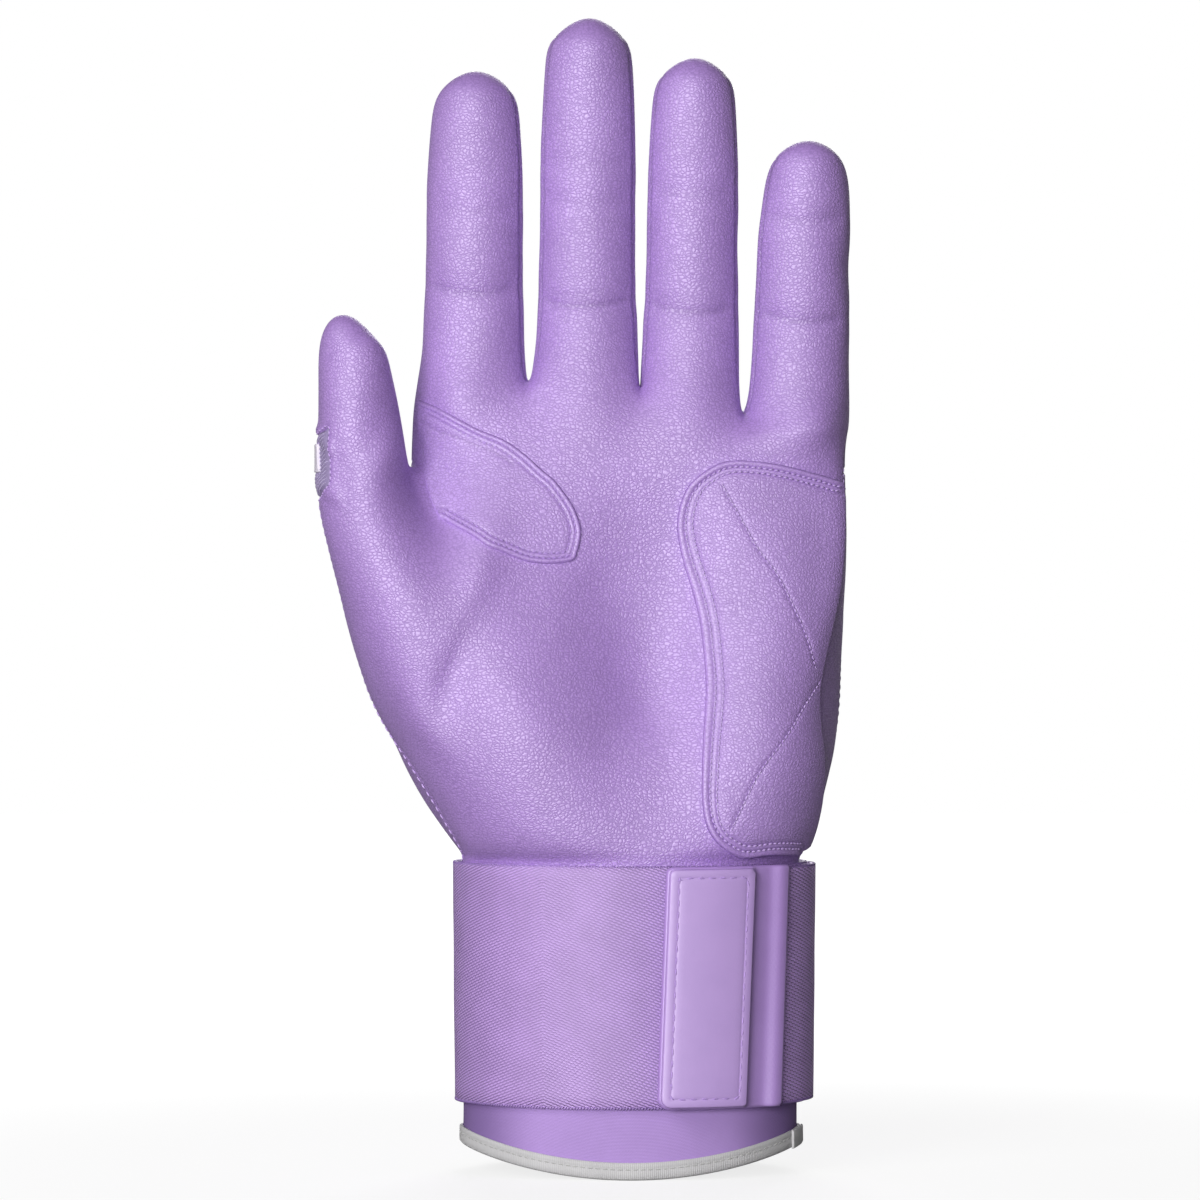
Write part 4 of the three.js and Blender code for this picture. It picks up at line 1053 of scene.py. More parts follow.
def makeTape():
    f = Finish("greyTape", uv=True)
    tree = f.tree
    sizes = {"Direction": (1.0, 0.0, 0.0), "Pitch": 0.42 * mm}
    ribs = useGroup(tree, ribWave, {"Vector": f.place, **sizes})["Height"]
    between = calc(tree, "MULTIPLY", calc(tree, "SUBTRACT", 1.0, ribs), 0.3)
    body = f.mottled(8, (0.58, 0.57, 0.58), (0.64, 0.63, 0.64))
    colour = blendColour(tree, between, body, (0.36, 0.36, 0.36))
    return f.finish(colour, 0.6, ribs, 0.06, sheen=0.1, specular=0.4, tint=(1, 1, 1))


# Edges are a little worn and lighter
def makeSmooth(name, high, low, roughness, deep=0.02, grain=2600.0, **shine):
    f = Finish(name)
    tree = f.tree
    pointiness = addNode(tree, "ShaderNodeNewGeometry").outputs["Pointiness"]
    worn = calc(tree, "MULTIPLY", remap(tree, pointiness, *wear["pointiness"]), wear["share"])
    colour = blendColour(tree, worn, f.mottled(10, low, high), shade(high, wear["tone"]))
    fine = noiseAt(tree, f.place, grain, 3.0)
    rough = remap(tree, fine, 0.2, 0.8, roughness - wear["roughness"], roughness + wear["roughness"])
    return f.finish(colour, rough, fine, deep, **shine)


threads = dict(deep=0.06, grain=5200.0)
smoothLooks = {  # name, two colours, roughness and the rest
    "tab": ("tabLeather", (0.45, 0.27, 0.68), (0.42, 0.25, 0.64), 0.5,
            dict(deep=0.03, specular=1.0, ior=1.7)),
    "rubber": ("mouldedRubber", (0.53, 0.345, 0.75), (0.5, 0.325, 0.72), 0.55,
               dict(deep=0.015, specular=1.0, ior=1.7)),
    "tag": ("plainTag", (0.79, 0.73, 0.85), (0.76, 0.7, 0.82), 0.5, {}),
    "thread": ("purpleThread", (0.57, 0.41, 0.76), (0.5, 0.345, 0.69), 0.55, dict(sheen=0.1, **threads)),
    "darkThread": ("darkThread", (0.46, 0.3, 0.67), (0.41, 0.265, 0.62), 0.55, dict(sheen=0.1, **threads)),
    "greyThread": ("greyThread", (0.5, 0.5, 0.49), (0.42, 0.42, 0.41), 0.6, dict(sheen=0.2, **threads)),
    "pile": ("hookAndLoop", (0.3, 0.19, 0.47), (0.2, 0.12, 0.33), 0.8,
             dict(deep=0.2, sheen=0.5, grain=1800.0)),
}
materials = {
    **{key: makeLeather(key + "Leather", looks[key]) for key in ("palm", "pad", "back")},
    "elastic": makeElastic("wovenElastic", looks["band"]),
    "strap": makeElastic("strapWeave", looks["strap"]),
    "ribbed": makeRibbed("ribbedStretch", (0.22, 0.17, 0.33), (0.32, 0.25, 0.45)),
    "cord": makeRibbed("ribCord", (0.36, 0.29, 0.5), (0.52, 0.44, 0.67)),
    "sleeve": makeSleeveKnit(),
    "tape": makeTape(),
    **{key: makeSmooth(*look, **rest) for key, (*look, rest) in smoothLooks.items()},
}
print("materials")


panels = [  # pieces, thickness, material and slot
    (["palm_leather"], 1.0, "palm", "palm_leather"),
    (["back_leather", "side_panel", "thumb_back", *fingerBacks], 1.0, "back", "back_leather"),
    (["knuckle_flex", "thumb_flex"], 0.8, "ribbed", "ribbed_stretch"),
    (fourchettes, 0.8, "back", "back_leather"),
]
for names, thickness, look, slot in panels:
    for name in names:
        makePanel(name, thickness, materials[look])
print("panels of leather and stretch fabric")


# A sewn-on piece is drawn flat, as an outline with rows of points inside it, and then laid on
# what carries it. Its profile gives heights by distance from the rolled part of its edge.
def signedArea(outline):
    nexts = np.roll(outline, -1, axis=0)
    return np.sum(outline[:, 0] * nexts[:, 1] - nexts[:, 0] * outline[:, 1])


def polygonSide(points):
    along = np.roll(points, -1, axis=0) - np.roll(points, 1, axis=0)
    return unit(np.column_stack([-along[:, 1], along[:, 0]]) * np.sign(signedArea(points)))


# Unit steps to the right of an open line
def sideOf(line):
    along = np.gradient(line, axis=0)
    return unit(np.column_stack([along[:, 1], -along[:, 0]]))


def insidePolygon(points, outline):
    inside = np.zeros(len(points), bool)
    for (ax, ay), (bx, by) in zip(outline, np.roll(outline, -1, axis=0)):
        spans = (ay > points[:, 1]) != (by > points[:, 1])
        if by != ay:
            inside ^= spans & (points[:, 0] < (bx - ax) * (points[:, 1] - ay) / (by - ay) + ax)
    return inside


def distanceTo(line, points, closed=False):
    ends = np.roll(line, -1, axis=0) if closed else line[1:]
    starts = line if closed else line[:-1]
    best = np.full(len(points), 1e9)
    for a, b in zip(starts, ends):
        span = b - a
        share = np.clip(((points - a) @ span) / max(span @ span, 1e-12), 0, 1)
        best = np.minimum(best, np.linalg.norm(points - a - share[:, None] * span, axis=1))
    return best


# The part of a row that keeps its distance from the line it was moved away from
def clearOf(line, row, least, closed=False):
    return row[distanceTo(line, row, closed) > least]


def profileAt(profile, away):
    return np.interp(away, *zip(*profile))


# Shares of an inset, of the grid's step and of a line's reach that points keep clear of others
clear = {"inset": 0.96, "rowHeight": 0.87, "step": 0.6, "reach": 1.3, "stitch": 0.94}


def makePlate(name, material, outline, profile, place, heightAt=None, lines=(), step=0.9, bottom=-0.35,
              sharp=60):
    insets = [inset for inset, _ in profile[1:]]
    side = polygonSide(outline)
    rows = [clearOf(outline, outline + side * inset, clear["inset"] * inset, True) for inset in insets]
    rows.insert(0, outline)
    low, high = outline.min(axis=0), outline.max(axis=0)
    ups = np.arange(low[1], high[1], step * clear["rowHeight"])
    across, up = np.meshgrid(np.arange(low[0], high[0], step), ups)
    across[1::2] += step / 2
    grid = np.column_stack([across.ravel(), up.ravel()])
    grid = clearOf(outline, grid[insidePolygon(grid, outline)], insets[-1] + clear["step"] * step, True)
    for line, reach in lines:
        grid = clearOf(line, grid, clear["reach"] * reach)
        for shift in (reach, 0, -reach):
            row = line + sideOf(line) * shift
            rows.append(clearOf(outline, row[insidePolygon(row, outline)], insets[-1] + 0.3, True))
    flat = np.vstack(rows + [grid])
    count = len(outline)
    edges = [(i, (i + 1) % count) for i in range(count)]
    made = delaunay_2d_cdt([Vector(p) for p in flat], edges, [], 1, 1e-4)
    flat = np.array([tuple(p) for p in made[0]])
    triangles = [list(face) for face in made[2]]
    origin = {source: i for i, sources in enumerate(made[3]) for source in sources}
    rim = [origin[i] for i in range(count)]
    a, b, c = flat[triangles[0]]
    if np.cross(b - a, c - a) < 0:
        triangles = [face[::-1] for face in triangles]
    if signedArea(outline) < 0:
        rim = rim[::-1]
    total = len(flat)
    heights = heightAt(flat) if heightAt else profileAt(profile, distanceTo(outline, flat, closed=True))
    points = place(flat, heights) + place(flat, np.full(total, bottom))
    faces = triangles + [[n + total for n in reversed(face)] for face in triangles]
    faces += [[b, a, a + total, b + total] for a, b in zip(rim, rim[1:] + rim[:1])]
    return makeObject(name, points, faces, materials[material], sharp), flat


# A plane to draw a sewn-on piece in, turned from the palm's by some degrees
class Facing:
    def __init__(self, degrees):
        turn = math.radians(degrees)
        self.across = np.array([math.cos(turn), math.sin(turn), 0])
        self.through = np.array([-math.sin(turn), math.cos(turn), 0])

    def flatten(self, points):
        return np.column_stack([points @ self.across, points[:, 2]])

    def trace(self, pixels):
        return self.flatten(traceLine(skinTree, pixels))

    def before(self, u, v, away=200):
        return self.across * u + np.array([0, 0, v]) - away * self.through

    def meetings(self, flat):
        found = []
        for u, v in flat:
            found.append(meet(skinTree, self.before(u, v), self.through) or found[-1])
        return found

    def lay(self, flat, heights):
        return [place + normal * height for (place, normal), height in zip(self.meetings(flat), heights)]

    def ups(self, flat):
        return np.array([normal for _, normal in self.meetings(flat)])


stitchRows = []  # each row: points, normals, kind and body
stitchStep = 0.6
outlineStep = 0.55


def addStitches(row, facing, height, kind):
    row = evenly(row, stitchStep)
    laid = np.array(facing.lay(row, np.full(len(row), height)))
    stitchRows.append((laid, facing.ups(row), kind, "glove"))


def closedLine(*parts):
    return evenly(np.vstack([*parts, parts[0][:1]]), outlineStep)[:-1]


# Where thread pulls the leather down, and where its edge is rolled and loses its grain
def markPad(piece, flat, rolled, insets, lines, strong=1.0):
    away = distanceTo(rolled, flat)
    pressed = sum(bell(away - inset, 0.22) for inset in (*insets, 0))
    pressed = strong * (pressed + sum(bell(distanceTo(line, flat), 0.25) for line in lines))
    smooth = 1 - smoothStep((away - insets[-1]) / 0.6)
    mark(piece, pressed=np.tile(np.minimum(pressed, 1), 2), rolled=np.tile(smooth, 2))


heelPad = {
    "facing": 34,
    "edge": [(838, 481), (816, 474), (781, 465), (748, 461), (725, 462), (707, 470), (690, 484), (681, 502),
             (677, 523), (679, 543), (684, 564), (693, 593), (700, 622), (704, 655), (706, 684), (705, 713),
             (703, 743), (702, 772), (702, 801), (706, 825), (716, 842), (731, 853), (743, 856), (768, 853),
             (792, 853)],
    "profile": [(0, 0.25), (0.12, 0.85), (0.3, 1.15), (0.6, 1.3), (0.95, 1.2), (1.2, 0.95), (1.45, 0.72),
                (1.7, 0.92), (2.0, 1.02), (2.3, 0.9), (2.55, 0.72), (2.8, 0.9), (3.2, 1.05), (4.2, 1.12)],
    "stitchInsets": (1.45, 2.55),
    "stitchHeight": 0.94,
    "lines": [[(722, 485), (740, 518), (757, 549), (776, 575), (792, 608), (804, 637), (812, 668)],
              [(815, 683), (801, 707), (784, 737), (757, 775), (731, 828)]],
    "groove": (0.28, 0.3),  # depth and width along the lines
    "seamFall": (0.75, 1.5),  # how far it sinks towards the seam, and over what distance
}


def makeHeelPad(pad):
    facing = Facing(pad["facing"])
    rolled = facing.trace(pad["edge"])
    ends = skin["points"][seamOf("palm_leather", "side_panel")].reshape(-1, 3)
    low, high = rolled[-1][1] + 2, rolled[0][1] - 2
    ends = ends[(ends[:, 2] > low) & (ends[:, 2] < high) & (ends[:, 1] < 5)]
    seam = evenly(facing.flatten(ends[np.argsort(ends[:, 2])]), 4) - [0.5, 0]
    outline = closedLine(rolled, seam)
    lines = [evenly(facing.trace(pixels), stitchStep) for pixels in pad["lines"]]
    deep, wide = pad["groove"]
    fall, over = pad["seamFall"]

    def heightAt(flat):
        height = profileAt(pad["profile"], distanceTo(rolled, flat))
        for line in lines:
            height = height - deep * bell(distanceTo(line, flat), wide)
        right = np.minimum(distanceTo(seam, flat), over) / over
        return np.where(distanceTo(rolled, flat) > 2, height - fall * (1 - right) ** 2, height)

    piece, flat = makePlate("heelPad", "pad", outline, pad["profile"], facing.lay, heightAt,
                            [(line, 0.4) for line in lines], sharp=70)
    markPad(piece, flat, rolled, pad["stitchInsets"], [*lines, seam])
    standFor(piece, "heel_pad", "glove")
    side = polygonSide(outline)
    for inset in pad["stitchInsets"]:
        row = (outline + side * inset)[distanceTo(rolled, outline) < 0.3]
        row = clearOf(rolled, row, clear["stitch"] * inset)
        if gaps(row).max() > 2:
            row = np.roll(row, -np.argmax(gaps(row)) - 1, axis=0)
        addStitches(row, facing, pad["stitchHeight"], "fine")
    for line in lines:
        addStitches(line, facing, profileAt(pad["profile"], 5) - 0.08, "light")


webPatch = {
    "facing": -8,
    "edge": [(420, 400), (439, 408), (459, 419), (480, 430), (502, 439), (515, 447), (529, 458), (542, 470),
             (554, 480), (565, 494), (573, 506), (578, 518), (581, 530), (580, 541), (577, 553), (572, 561),
             (550, 564), (529, 562), (516, 558), (502, 552), (487, 546), (474, 537), (456, 527), (441, 519)],
    "crotch": [(434, 507), (428, 490), (423, 466), (421, 436)],
    "profile": [(0, 0.1), (0.15, 0.5), (0.4, 0.72), (0.7, 0.76), (0.95, 0.6), (1.15, 0.42), (1.4, 0.58),
                (1.7, 0.62), (1.95, 0.52), (2.15, 0.42), (2.4, 0.55), (2.9, 0.62)],
    "stitchInsets": (1.15, 2.15),
    "stitchHeight": 0.56,
    "inner": [(423, 421), (441, 431), (462, 439), (480, 447), (496, 454), (515, 466)],
}


def makeWebPatch(patch):
    facing = Facing(patch["facing"])
    rolled, crotch = facing.trace(patch["edge"]), facing.trace(patch["crotch"])
    inner = evenly(facing.trace(patch["inner"]), stitchStep)

    def heightAt(flat):
        height = profileAt(patch["profile"], distanceTo(rolled, flat))
        height = height - 0.2 * bell(distanceTo(inner, flat), 0.4)
        return height - 0.45 * bell(distanceTo(crotch, flat), 0.8)

    piece, flat = makePlate("thumbWebPatch", "pad", closedLine(rolled, crotch), patch["profile"], facing.lay,
                            heightAt, [(inner, 0.45)], sharp=70)
    markPad(piece, flat, rolled, patch["stitchInsets"], [inner], strong=0.55)
    standFor(piece, "thumb_web_patch", "glove")
    for inset in patch["stitchInsets"]:
        row = clearOf(rolled, rolled + sideOf(rolled) * inset, clear["stitch"] * inset)
        addStitches(row, facing, patch["stitchHeight"], "faint")


makeHeelPad(heelPad)
makeWebPatch(webPatch)
print("heel pad and web patch")


# The bare tag on the outer side of the thumb's insert
thumbTag = {"facing": -90, "middle": (16.8, upAt(hand["thumbRoot"]) + 30), "size": (8.4, 6.0),
            "corner": 0.35, "profile": [(0, 0.45), (0.08, 0.66), (0.2, 0.7)]}


def roundedBox(middle, size, corner, step=0.45):
    (u, v), (wide, tall) = middle, size
    turns = np.linspace(0, math.pi / 2, 6)
    points = []
    for k, (sideU, sideV) in enumerate(((1, 1), (-1, 1), (-1, -1), (1, -1))):
        a = turns + k * math.pi / 2
        points.append(np.column_stack([u + sideU * (wide / 2 - corner) + corner * np.cos(a),
                                       v + sideV * (tall / 2 - corner) + corner * np.sin(a)]))
    return evenly(np.vstack([*points, points[0][:1]]), step)[:-1]


def makeTag(tag):
    outline = roundedBox(tag["middle"], tag["size"], tag["corner"])
    piece, _ = makePlate("thumbTag", "tag", outline, tag["profile"], Facing(tag["facing"]).lay, step=0.8)
    standFor(piece, "thumb_tag", "glove")


# Topstitching a little inside a seam, on the side of the piece it holds
topStitched = [  # piece it runs on, neighbour, inset and kind of stitch
    ("palm_leather", "side_panel", 0.5, "light"),
    ("back_leather", "side_panel", 1.4, "seam"),
    *[(name, "knuckle_flex", 1.5, "seam") for name in ("back_leather", *fingerBacks)],
    ("back_leather", "thumb_flex", 1.3, "seam"),
    ("thumb_back", "thumb_flex", 1.3, "seam"),
    ("palm_leather", "thumb_flex", 0.6, "light"),
    ("back_leather", "palm_leather", 1.3, "seam"),
]


# The chains that edges form, from their loose ends first
def chainsOf(edges):
    beside = {}
    for a, b in edges.tolist():
        beside.setdefault(a, []).append(b)
        beside.setdefault(b, []).append(a)
    left = {frozenset(edge) for edge in edges.tolist()}
    chains = []
    for start in sorted(beside, key=lambda n: (len(beside[n]) != 1, n)):
        while any(frozenset((start, n)) in left for n in beside[start]):
            chain = [start]
            while onward := [n for n in beside[chain[-1]] if frozenset((chain[-1], n)) in left]:
                left.discard(frozenset((chain[-1], onward[0])))
                chain.append(onward[0])
            chains.append(chain)
    return chains


def topStitch(owner, neighbour, inset, kind, shortest=8):
    near = Nearest(pointsOf(owner))
    for chain in chainsOf(seamOf(owner, neighbour)):
        if len(chain) < shortest:
            continue
        line = evenly(skin["points"][chain], stitchStep)
        marks, given = np.linspace(0, 1, len(line)), np.linspace(0, 1, len(chain))
        normals = np.column_stack([np.interp(marks, given, column) for column in skin["normals"][chain].T])
        side = unit(np.cross(normals, np.gradient(line, axis=0)))
        middle = len(line) // 2
        tests = [near.tree.find(Vector(line[middle] + way * 2.0 * side[middle]))[2] for way in (1, -1)]
        side *= 1 if tests[0] < tests[1] else -1
        row, ups = [], []
        for point in line + inset * side:
            place, _, face, _ = skinTree.find_nearest(Vector(point))
            place, normal = placeOn(face, place)
            row.append(place + 0.06 * normal)
            ups.append(normal)
        stitchRows.append((np.array(row), np.array(ups), kind, "glove"))


# Ribs of the stretch inserts: lines across a piece, kept clear of its seams
ribSets = [  # piece, facing, slope, pitch, radius and distance from the seams
    ("knuckle_flex", 180, 0.0, 1.75, 0.62, 0.8),
    ("thumb_flex", -70, 0.55, 0.85, 0.25, 0.35),
]


def ribLines(owner, degrees, slope, pitch, margin, firstAt=0.9, step=0.5):
    facing = Facing(degrees)
    index = skin["names"].index(owner)
    flat = facing.flatten(pointsOf(owner))
    offsets = flat[:, 1] - slope * flat[:, 0]
    seams = Nearest(skin["points"][np.unique(skin["seams"][0])])
    rows = []
    for offset in np.arange(offsets.min() + firstAt, offsets.max(), pitch):
        run = []
        for u in [*np.arange(flat[:, 0].min() - 1, flat[:, 0].max() + 1, step), None]:
            found = None
            if u is not None:
                start = Vector(facing.before(u, offset + slope * u))
                place, _, face, _ = skinTree.ray_cast(start, Vector(facing.through))
                if face is not None and skin["owners"][face] == index and seams.tree.find(place)[2] > margin:
                    found = placeOn(face, place)
            if found:
                run.append(found)
            else:
                if len(run) > 4:
                    rows.append(tuple(np.array(part) for part in zip(*run)))
                run = []
    return rows


makeTag(thumbTag)
for topStitching in topStitched:
    topStitch(*topStitching)
print("tag and topstitching")


# The wrist. Its pieces go round an oval: a place on it is a length along it from the +X side, a
# distance out from it and a height.
wrist = {
    "bandHeight": 51.3,
    "taper": 0.5,
    "hemBow": 5.9,
    "sleeve": {"inset": 0.5, "wall": 1.3, "top": 3, "lappedOut": -1.7, "lapStart": 56.2, "step": 3.5,
               "wave": (0.14, 3, 9)},
    "binding": {"height": 3.7, "thickness": 0.6, "gap": 0.2, "groove": 0.62, "lap": (-9, 1.5)},
    "band": {"out": 0.3, "thickness": 1.5, "wave": (0.12, 5, 14)},
    "strap": {"out": 2.1, "thickness": 1.5, "inset": 0.5, "sewn": (1.0, 2.2), "bend": (1.5, 9),
              "tongue": 3.2, "wave": (0.1, 10, 14, 3)},
    "loop": {"out": 2.1, "thickness": 0.6},
    "hook": {"out": 3.0, "thickness": 0.6},
    "tab": {"out": 3.9, "thickness": 1.0, "lean": 1.8, "corners": (2.6, 1.6), "bend": (0, 4),
            "profile": [(0, 0.3), (0.12, 0.75), (0.35, 1.0), (0.8, 1.08)]},
    "rubber": {"out": 5.2, "thickness": 1.3, "width": 17, "corners": (2.1, 1.1), "inset": 0.5,
               "profile": [(0, 0.3), (0.06, 1.0), (0.16, 1.22), (0.34, 1.3), (1.45, 1.31), (1.68, 1.25),
                           (1.85, 1.19), (2.02, 1.25), (2.3, 1.31)],
               "stitches": {"left": 1.85, "right": 1.6, "out": 1.21, "corners": (0.7, 0.4)}},
    "anchor": 0.17,  # places round the wrist, in shares of a turn
    "tabSeam": -0.0944,
    "tabTip": -0.2195,
    "pileInset": 3,
}
bandBottom = bandTop - wrist["bandHeight"]


def ovalLengths(steps=4000):
    shares = np.linspace(-0.5, 0.5, steps + 1)
    turns = shares * 2 * math.pi
    points = np.column_stack([hand["wristHalfWidth"] * np.cos(turns), hand["wristHalfDepth"] * np.sin(turns)])
    along = runLengths(points)
    return shares, along - along[steps // 2]


ovalShares, ovalAlong = ovalLengths()
roundLength = ovalAlong[-1] - ovalAlong[0]


def alongAt(share):
    return np.interp(share, ovalShares, ovalAlong)


def turnAt(along):
    wrapped = (along + roundLength / 2) % roundLength - roundLength / 2
    return np.interp(wrapped, ovalAlong, ovalShares) * 2 * math.pi


def onWrist(along, out, up):
    along, out, up = np.broadcast_arrays(np.asarray(along, float), out, up)
    turn = turnAt(along)
    wide, deep = hand["wristHalfWidth"], hand["wristHalfDepth"]
    normal = unit(np.stack([deep * np.cos(turn), wide * np.sin(turn)], axis=-1))
    x, y = wide * np.cos(turn) + normal[..., 0] * out, deep * np.sin(turn) + normal[..., 1] * out
    return np.stack([x, y, up], axis=-1)


def outwards(along):
    return onWrist(along, 1, 0) - onWrist(along, 0, 0)


# What grows evenly from nothing at the band's top to a size at its bottom
def growDown(size, up):
    return size * (bandTop - up) / wrist["bandHeight"]


def drawnIn(up):
    return growDown(wrist["taper"], up)


def outerOf(layer):
    return layer["out"] + layer["thickness"]


def roundAlongs(count=240):
    return np.linspace(0, roundLength, count, endpoint=False)


# A ring or strip that follows the oval, from sections of [out, up] points. Its UV map is in
# metres: along the oval and round the section.
def loft(name, alongs, sectionAt, look, closed=False):
    sections = [np.array(sectionAt(along), float) for along in alongs]
    girths = [runLengths(np.vstack([section, section[:1]])) for section in sections]
    count = len(sections[0])
    points = np.vstack([onWrist(along, *section.T) for along, section in zip(alongs, sections)])
    faces, places = [], []
    for i in range(len(alongs) if closed else len(alongs) - 1):
        here, there = i * count, (i + 1) % len(alongs) * count
        start, end = alongs[i], alongs[i + 1] if i + 1 < len(alongs) else alongs[0] + roundLength
        for k in range(count):
            n = (k + 1) % count
            faces.append([here + k, there + k, there + n, here + n])
            low, high = girths[i][k], girths[i][k + 1]
            places += [(start, low), (end, low), (end, high), (start, high)]
    if not closed:
        last = (len(alongs) - 1) * count
        faces += [list(range(count))[::-1], [last + k for k in range(count)]]
        places += [(0, 0)] * (2 * count)
    piece = makeObject(name, points, faces, materials[look], sharp=50)
    places = (np.array(places, np.float32) * mm).ravel()
    piece.data.uv_layers.new(name="cloth").data.foreach_set("uv", places)
    return piece


# The section of a cloth layer: a slab with rounded selvages, a little uneven, run
# anticlockwise from the bottom of its inner face
def layerSection(layer, bottom, top, steps, wave=lambda along, up: 0, edge=0.45):
    inner, outer = layer["out"], outerOf(layer)
    ups = np.linspace(bottom + edge, top - edge, steps)
    slab = [(inner, bottom + edge), (inner + edge, bottom), (outer - edge, bottom),
            *[(outer, up) for up in ups], (outer - edge, top), (inner + edge, top), (inner, top - edge)]
    return lambda along: [(out + wave(along, up) - drawnIn(up), up) for out, up in slab]


# A wave is a height, how many lie round the wrist, and their length along it
def waveAt(wave, along, up):
    height, around, tall = wave
    return height * noise.noise(Vector((*outwards(along)[:2] * around, up / tall)))


def makeBand():
    alongs = roundAlongs()
    section = layerSection(wrist["band"], bandBottom, bandTop, 24, partial(waveAt, wrist["band"]["wave"]))
    piece = loft("wristBand", alongs, section, "elastic", closed=True)
    standFor(piece, "wrist_band", "glove")
    for up, out in ((bandBottom + 0.1, 0.15), (bandTop - 0.3, 0)):
        row = onWrist(alongs, outerOf(wrist["band"]) - drawnIn(up) - 0.25 + out, up)
        stitchRows.append((row, outwards(alongs), "loops", "glove"))


# The sleeve's hem bows down at the palm and the back
def hemAt(along):
    return wrist["hemBow"] * np.cos(turnAt(along)) ** 2


def makeSleeve():
    sleeve = wrist["sleeve"]
    out, wall = -sleeve["inset"], sleeve["wall"]
    lapped, lap, step = sleeve["lappedOut"], sleeve["lapStart"], sleeve["step"]
    top = bandTop - sleeve["top"]

    def section(along):
        edge = hemAt(along) + 1.1
        ups = np.linspace(edge, bandBottom + 3, 12)
        rippled = [(out + waveAt(sleeve["wave"], along, up), up) for up in ups]
        return [(out - wall, edge), *rippled, (out, lap - step),
                (lapped, lap), (lapped, top), (lapped - wall, top), (lapped - wall, lap - step / 2),
                (out - wall, lap - 2 * step)]

    piece = loft("cuffSleeve", roundAlongs(200), section, "sleeve", closed=True)
    standFor(piece, "cuff_sleeve", "glove")


# The tape is folded over the sleeve's edge, and its end laps over its start at the right
def makeTapeEdge():
    tape, sleeve = wrist["binding"], wrist["sleeve"]
    thick, gap = tape["thickness"], tape["gap"]
    outer = -sleeve["inset"] + gap
    inner = outer - sleeve["wall"] - 2 * gap
    face = outer + thick
    alongs = roundAlongs()

    def section(along):
        low = hemAt(along)
        top, groove = low + tape["height"], low + tape["groove"] * tape["height"]
        return [(inner, top), (inner - thick, top), (inner - thick, low + 0.6), (inner - 0.2, low),
                (face - 0.4, low), (face, low + 0.45), (face + 0.06, groove - 0.5), (face - 0.16, groove),
                (face + 0.03, groove + 0.45), (face, top - 0.2), (face - 0.25, top + 0.05),
                (outer, top), (outer, low + thick), (inner, low + thick)]

    piece = loft("cuffBinding", alongs, section, "tape", closed=True)
    standFor(piece, "cuff_binding", "glove")
    row = onWrist(alongs, face - 0.06, hemAt(alongs) + tape["groove"] * tape["height"])
    stitchRows.append((row, outwards(alongs), "tape", "glove"))

    def lapSection(along):
        low = hemAt(along) - 0.1
        top = low + tape["height"] + 0.3 - 0.25 * max(0, along + 1)
        out = face + 0.05
        return [(out, low), (out + 0.35, low), (out + 0.55, low + 0.4), (out + 0.5, top - 0.3),
                (out + 0.25, top), (out, top)]

    end = loft("cuffBindingLap", np.linspace(*tape["lap"], 18), lapSection, "tape")
    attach(end, "glove")


# The strap runs from the tab round to its sewn end. A tongue of it runs on under the tab.
def makeStrap():
    strap = wrist["strap"]
    height, long, tall, seed = strap["wave"]

    def strapWave(along, up):
        return height * noise.noise(Vector((along / long, up / tall, seed)))

    low, high, outer = bandBottom + strap["inset"], bandTop - strap["inset"], outerOf(strap)
    start, end = alongAt(wrist["tabSeam"]) - 0.1, alongAt(wrist["anchor"])
    alongs = np.linspace(start, end, 90)
    section = layerSection(strap, low, high, 22, strapWave)
    tongue = loft("strapTongue", np.linspace(start - strap["tongue"], start, 16), section, "strap")
    piece = loft("strapElastic", alongs, section, "strap")
    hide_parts("strap_elastic")
    rows = [(onWrist(alongs, outer - drawnIn(up) - 0.2, up), outwards(alongs))
            for up in (low + 0.1, high - 0.2)]
    ups = np.arange(bandBottom + 1.5, bandTop - 1.2, stitchStep)
    for away in strap["sewn"]:
        row = onWrist(end - away, outer - drawnIn(ups) + 0.05, ups)
        stitchRows.append((row, np.tile(outwards(end - away), (len(ups), 1)), "anchor", "glove"))
    return piece, tongue, rows


piles = {  # spacing, unevenness, length and thickness of the tufts, and the way they stand
    "loop": {"spacing": 0.95, "shaken": 0.35, "long": 0.2, "thick": 0.75, "facing": 1},
    "hook": {"spacing": 1.2, "shaken": 0.0, "long": 0.26, "thick": 0.34, "facing": -1},
}
tuftSets = []


def makePile(kind, body):
    layer, tufts = wrist[kind], piles[kind]
    start, end = alongAt(wrist["tabTip"]) + wrist["pileInset"], alongAt(wrist["tabSeam"]) - 3.6
    low, high = bandBottom + wrist["pileInset"], bandTop - wrist["pileInset"]
    section = layerSection(layer, low, high, 14, edge=0.2)
    piece = loft(kind + "Patch", np.linspace(start, end, 30), section, "pile")
    standFor(piece, kind + "_patch", body)
    facing, spacing = tufts["facing"], tufts["spacing"]
    base = outerOf(layer) if facing > 0 else layer["out"]
    alongs = np.arange(start + 0.7, end - 0.6, spacing)
    points, normals = [], []
    for i, up in enumerate(np.arange(low + 0.7, high - 0.6, spacing)):
        for along in alongs + (i % 2) * spacing / 2:
            shaken = noise.random_vector() * (spacing * tufts["shaken"])
            points.append(onWrist(along + shaken.x, base - drawnIn(up) + facing * 0.06, up + shaken.y))
            normals.append(outwards(along) * facing)
    tuftSets.append((kind + "Tufts", np.array(points), np.array(normals), tufts, body))


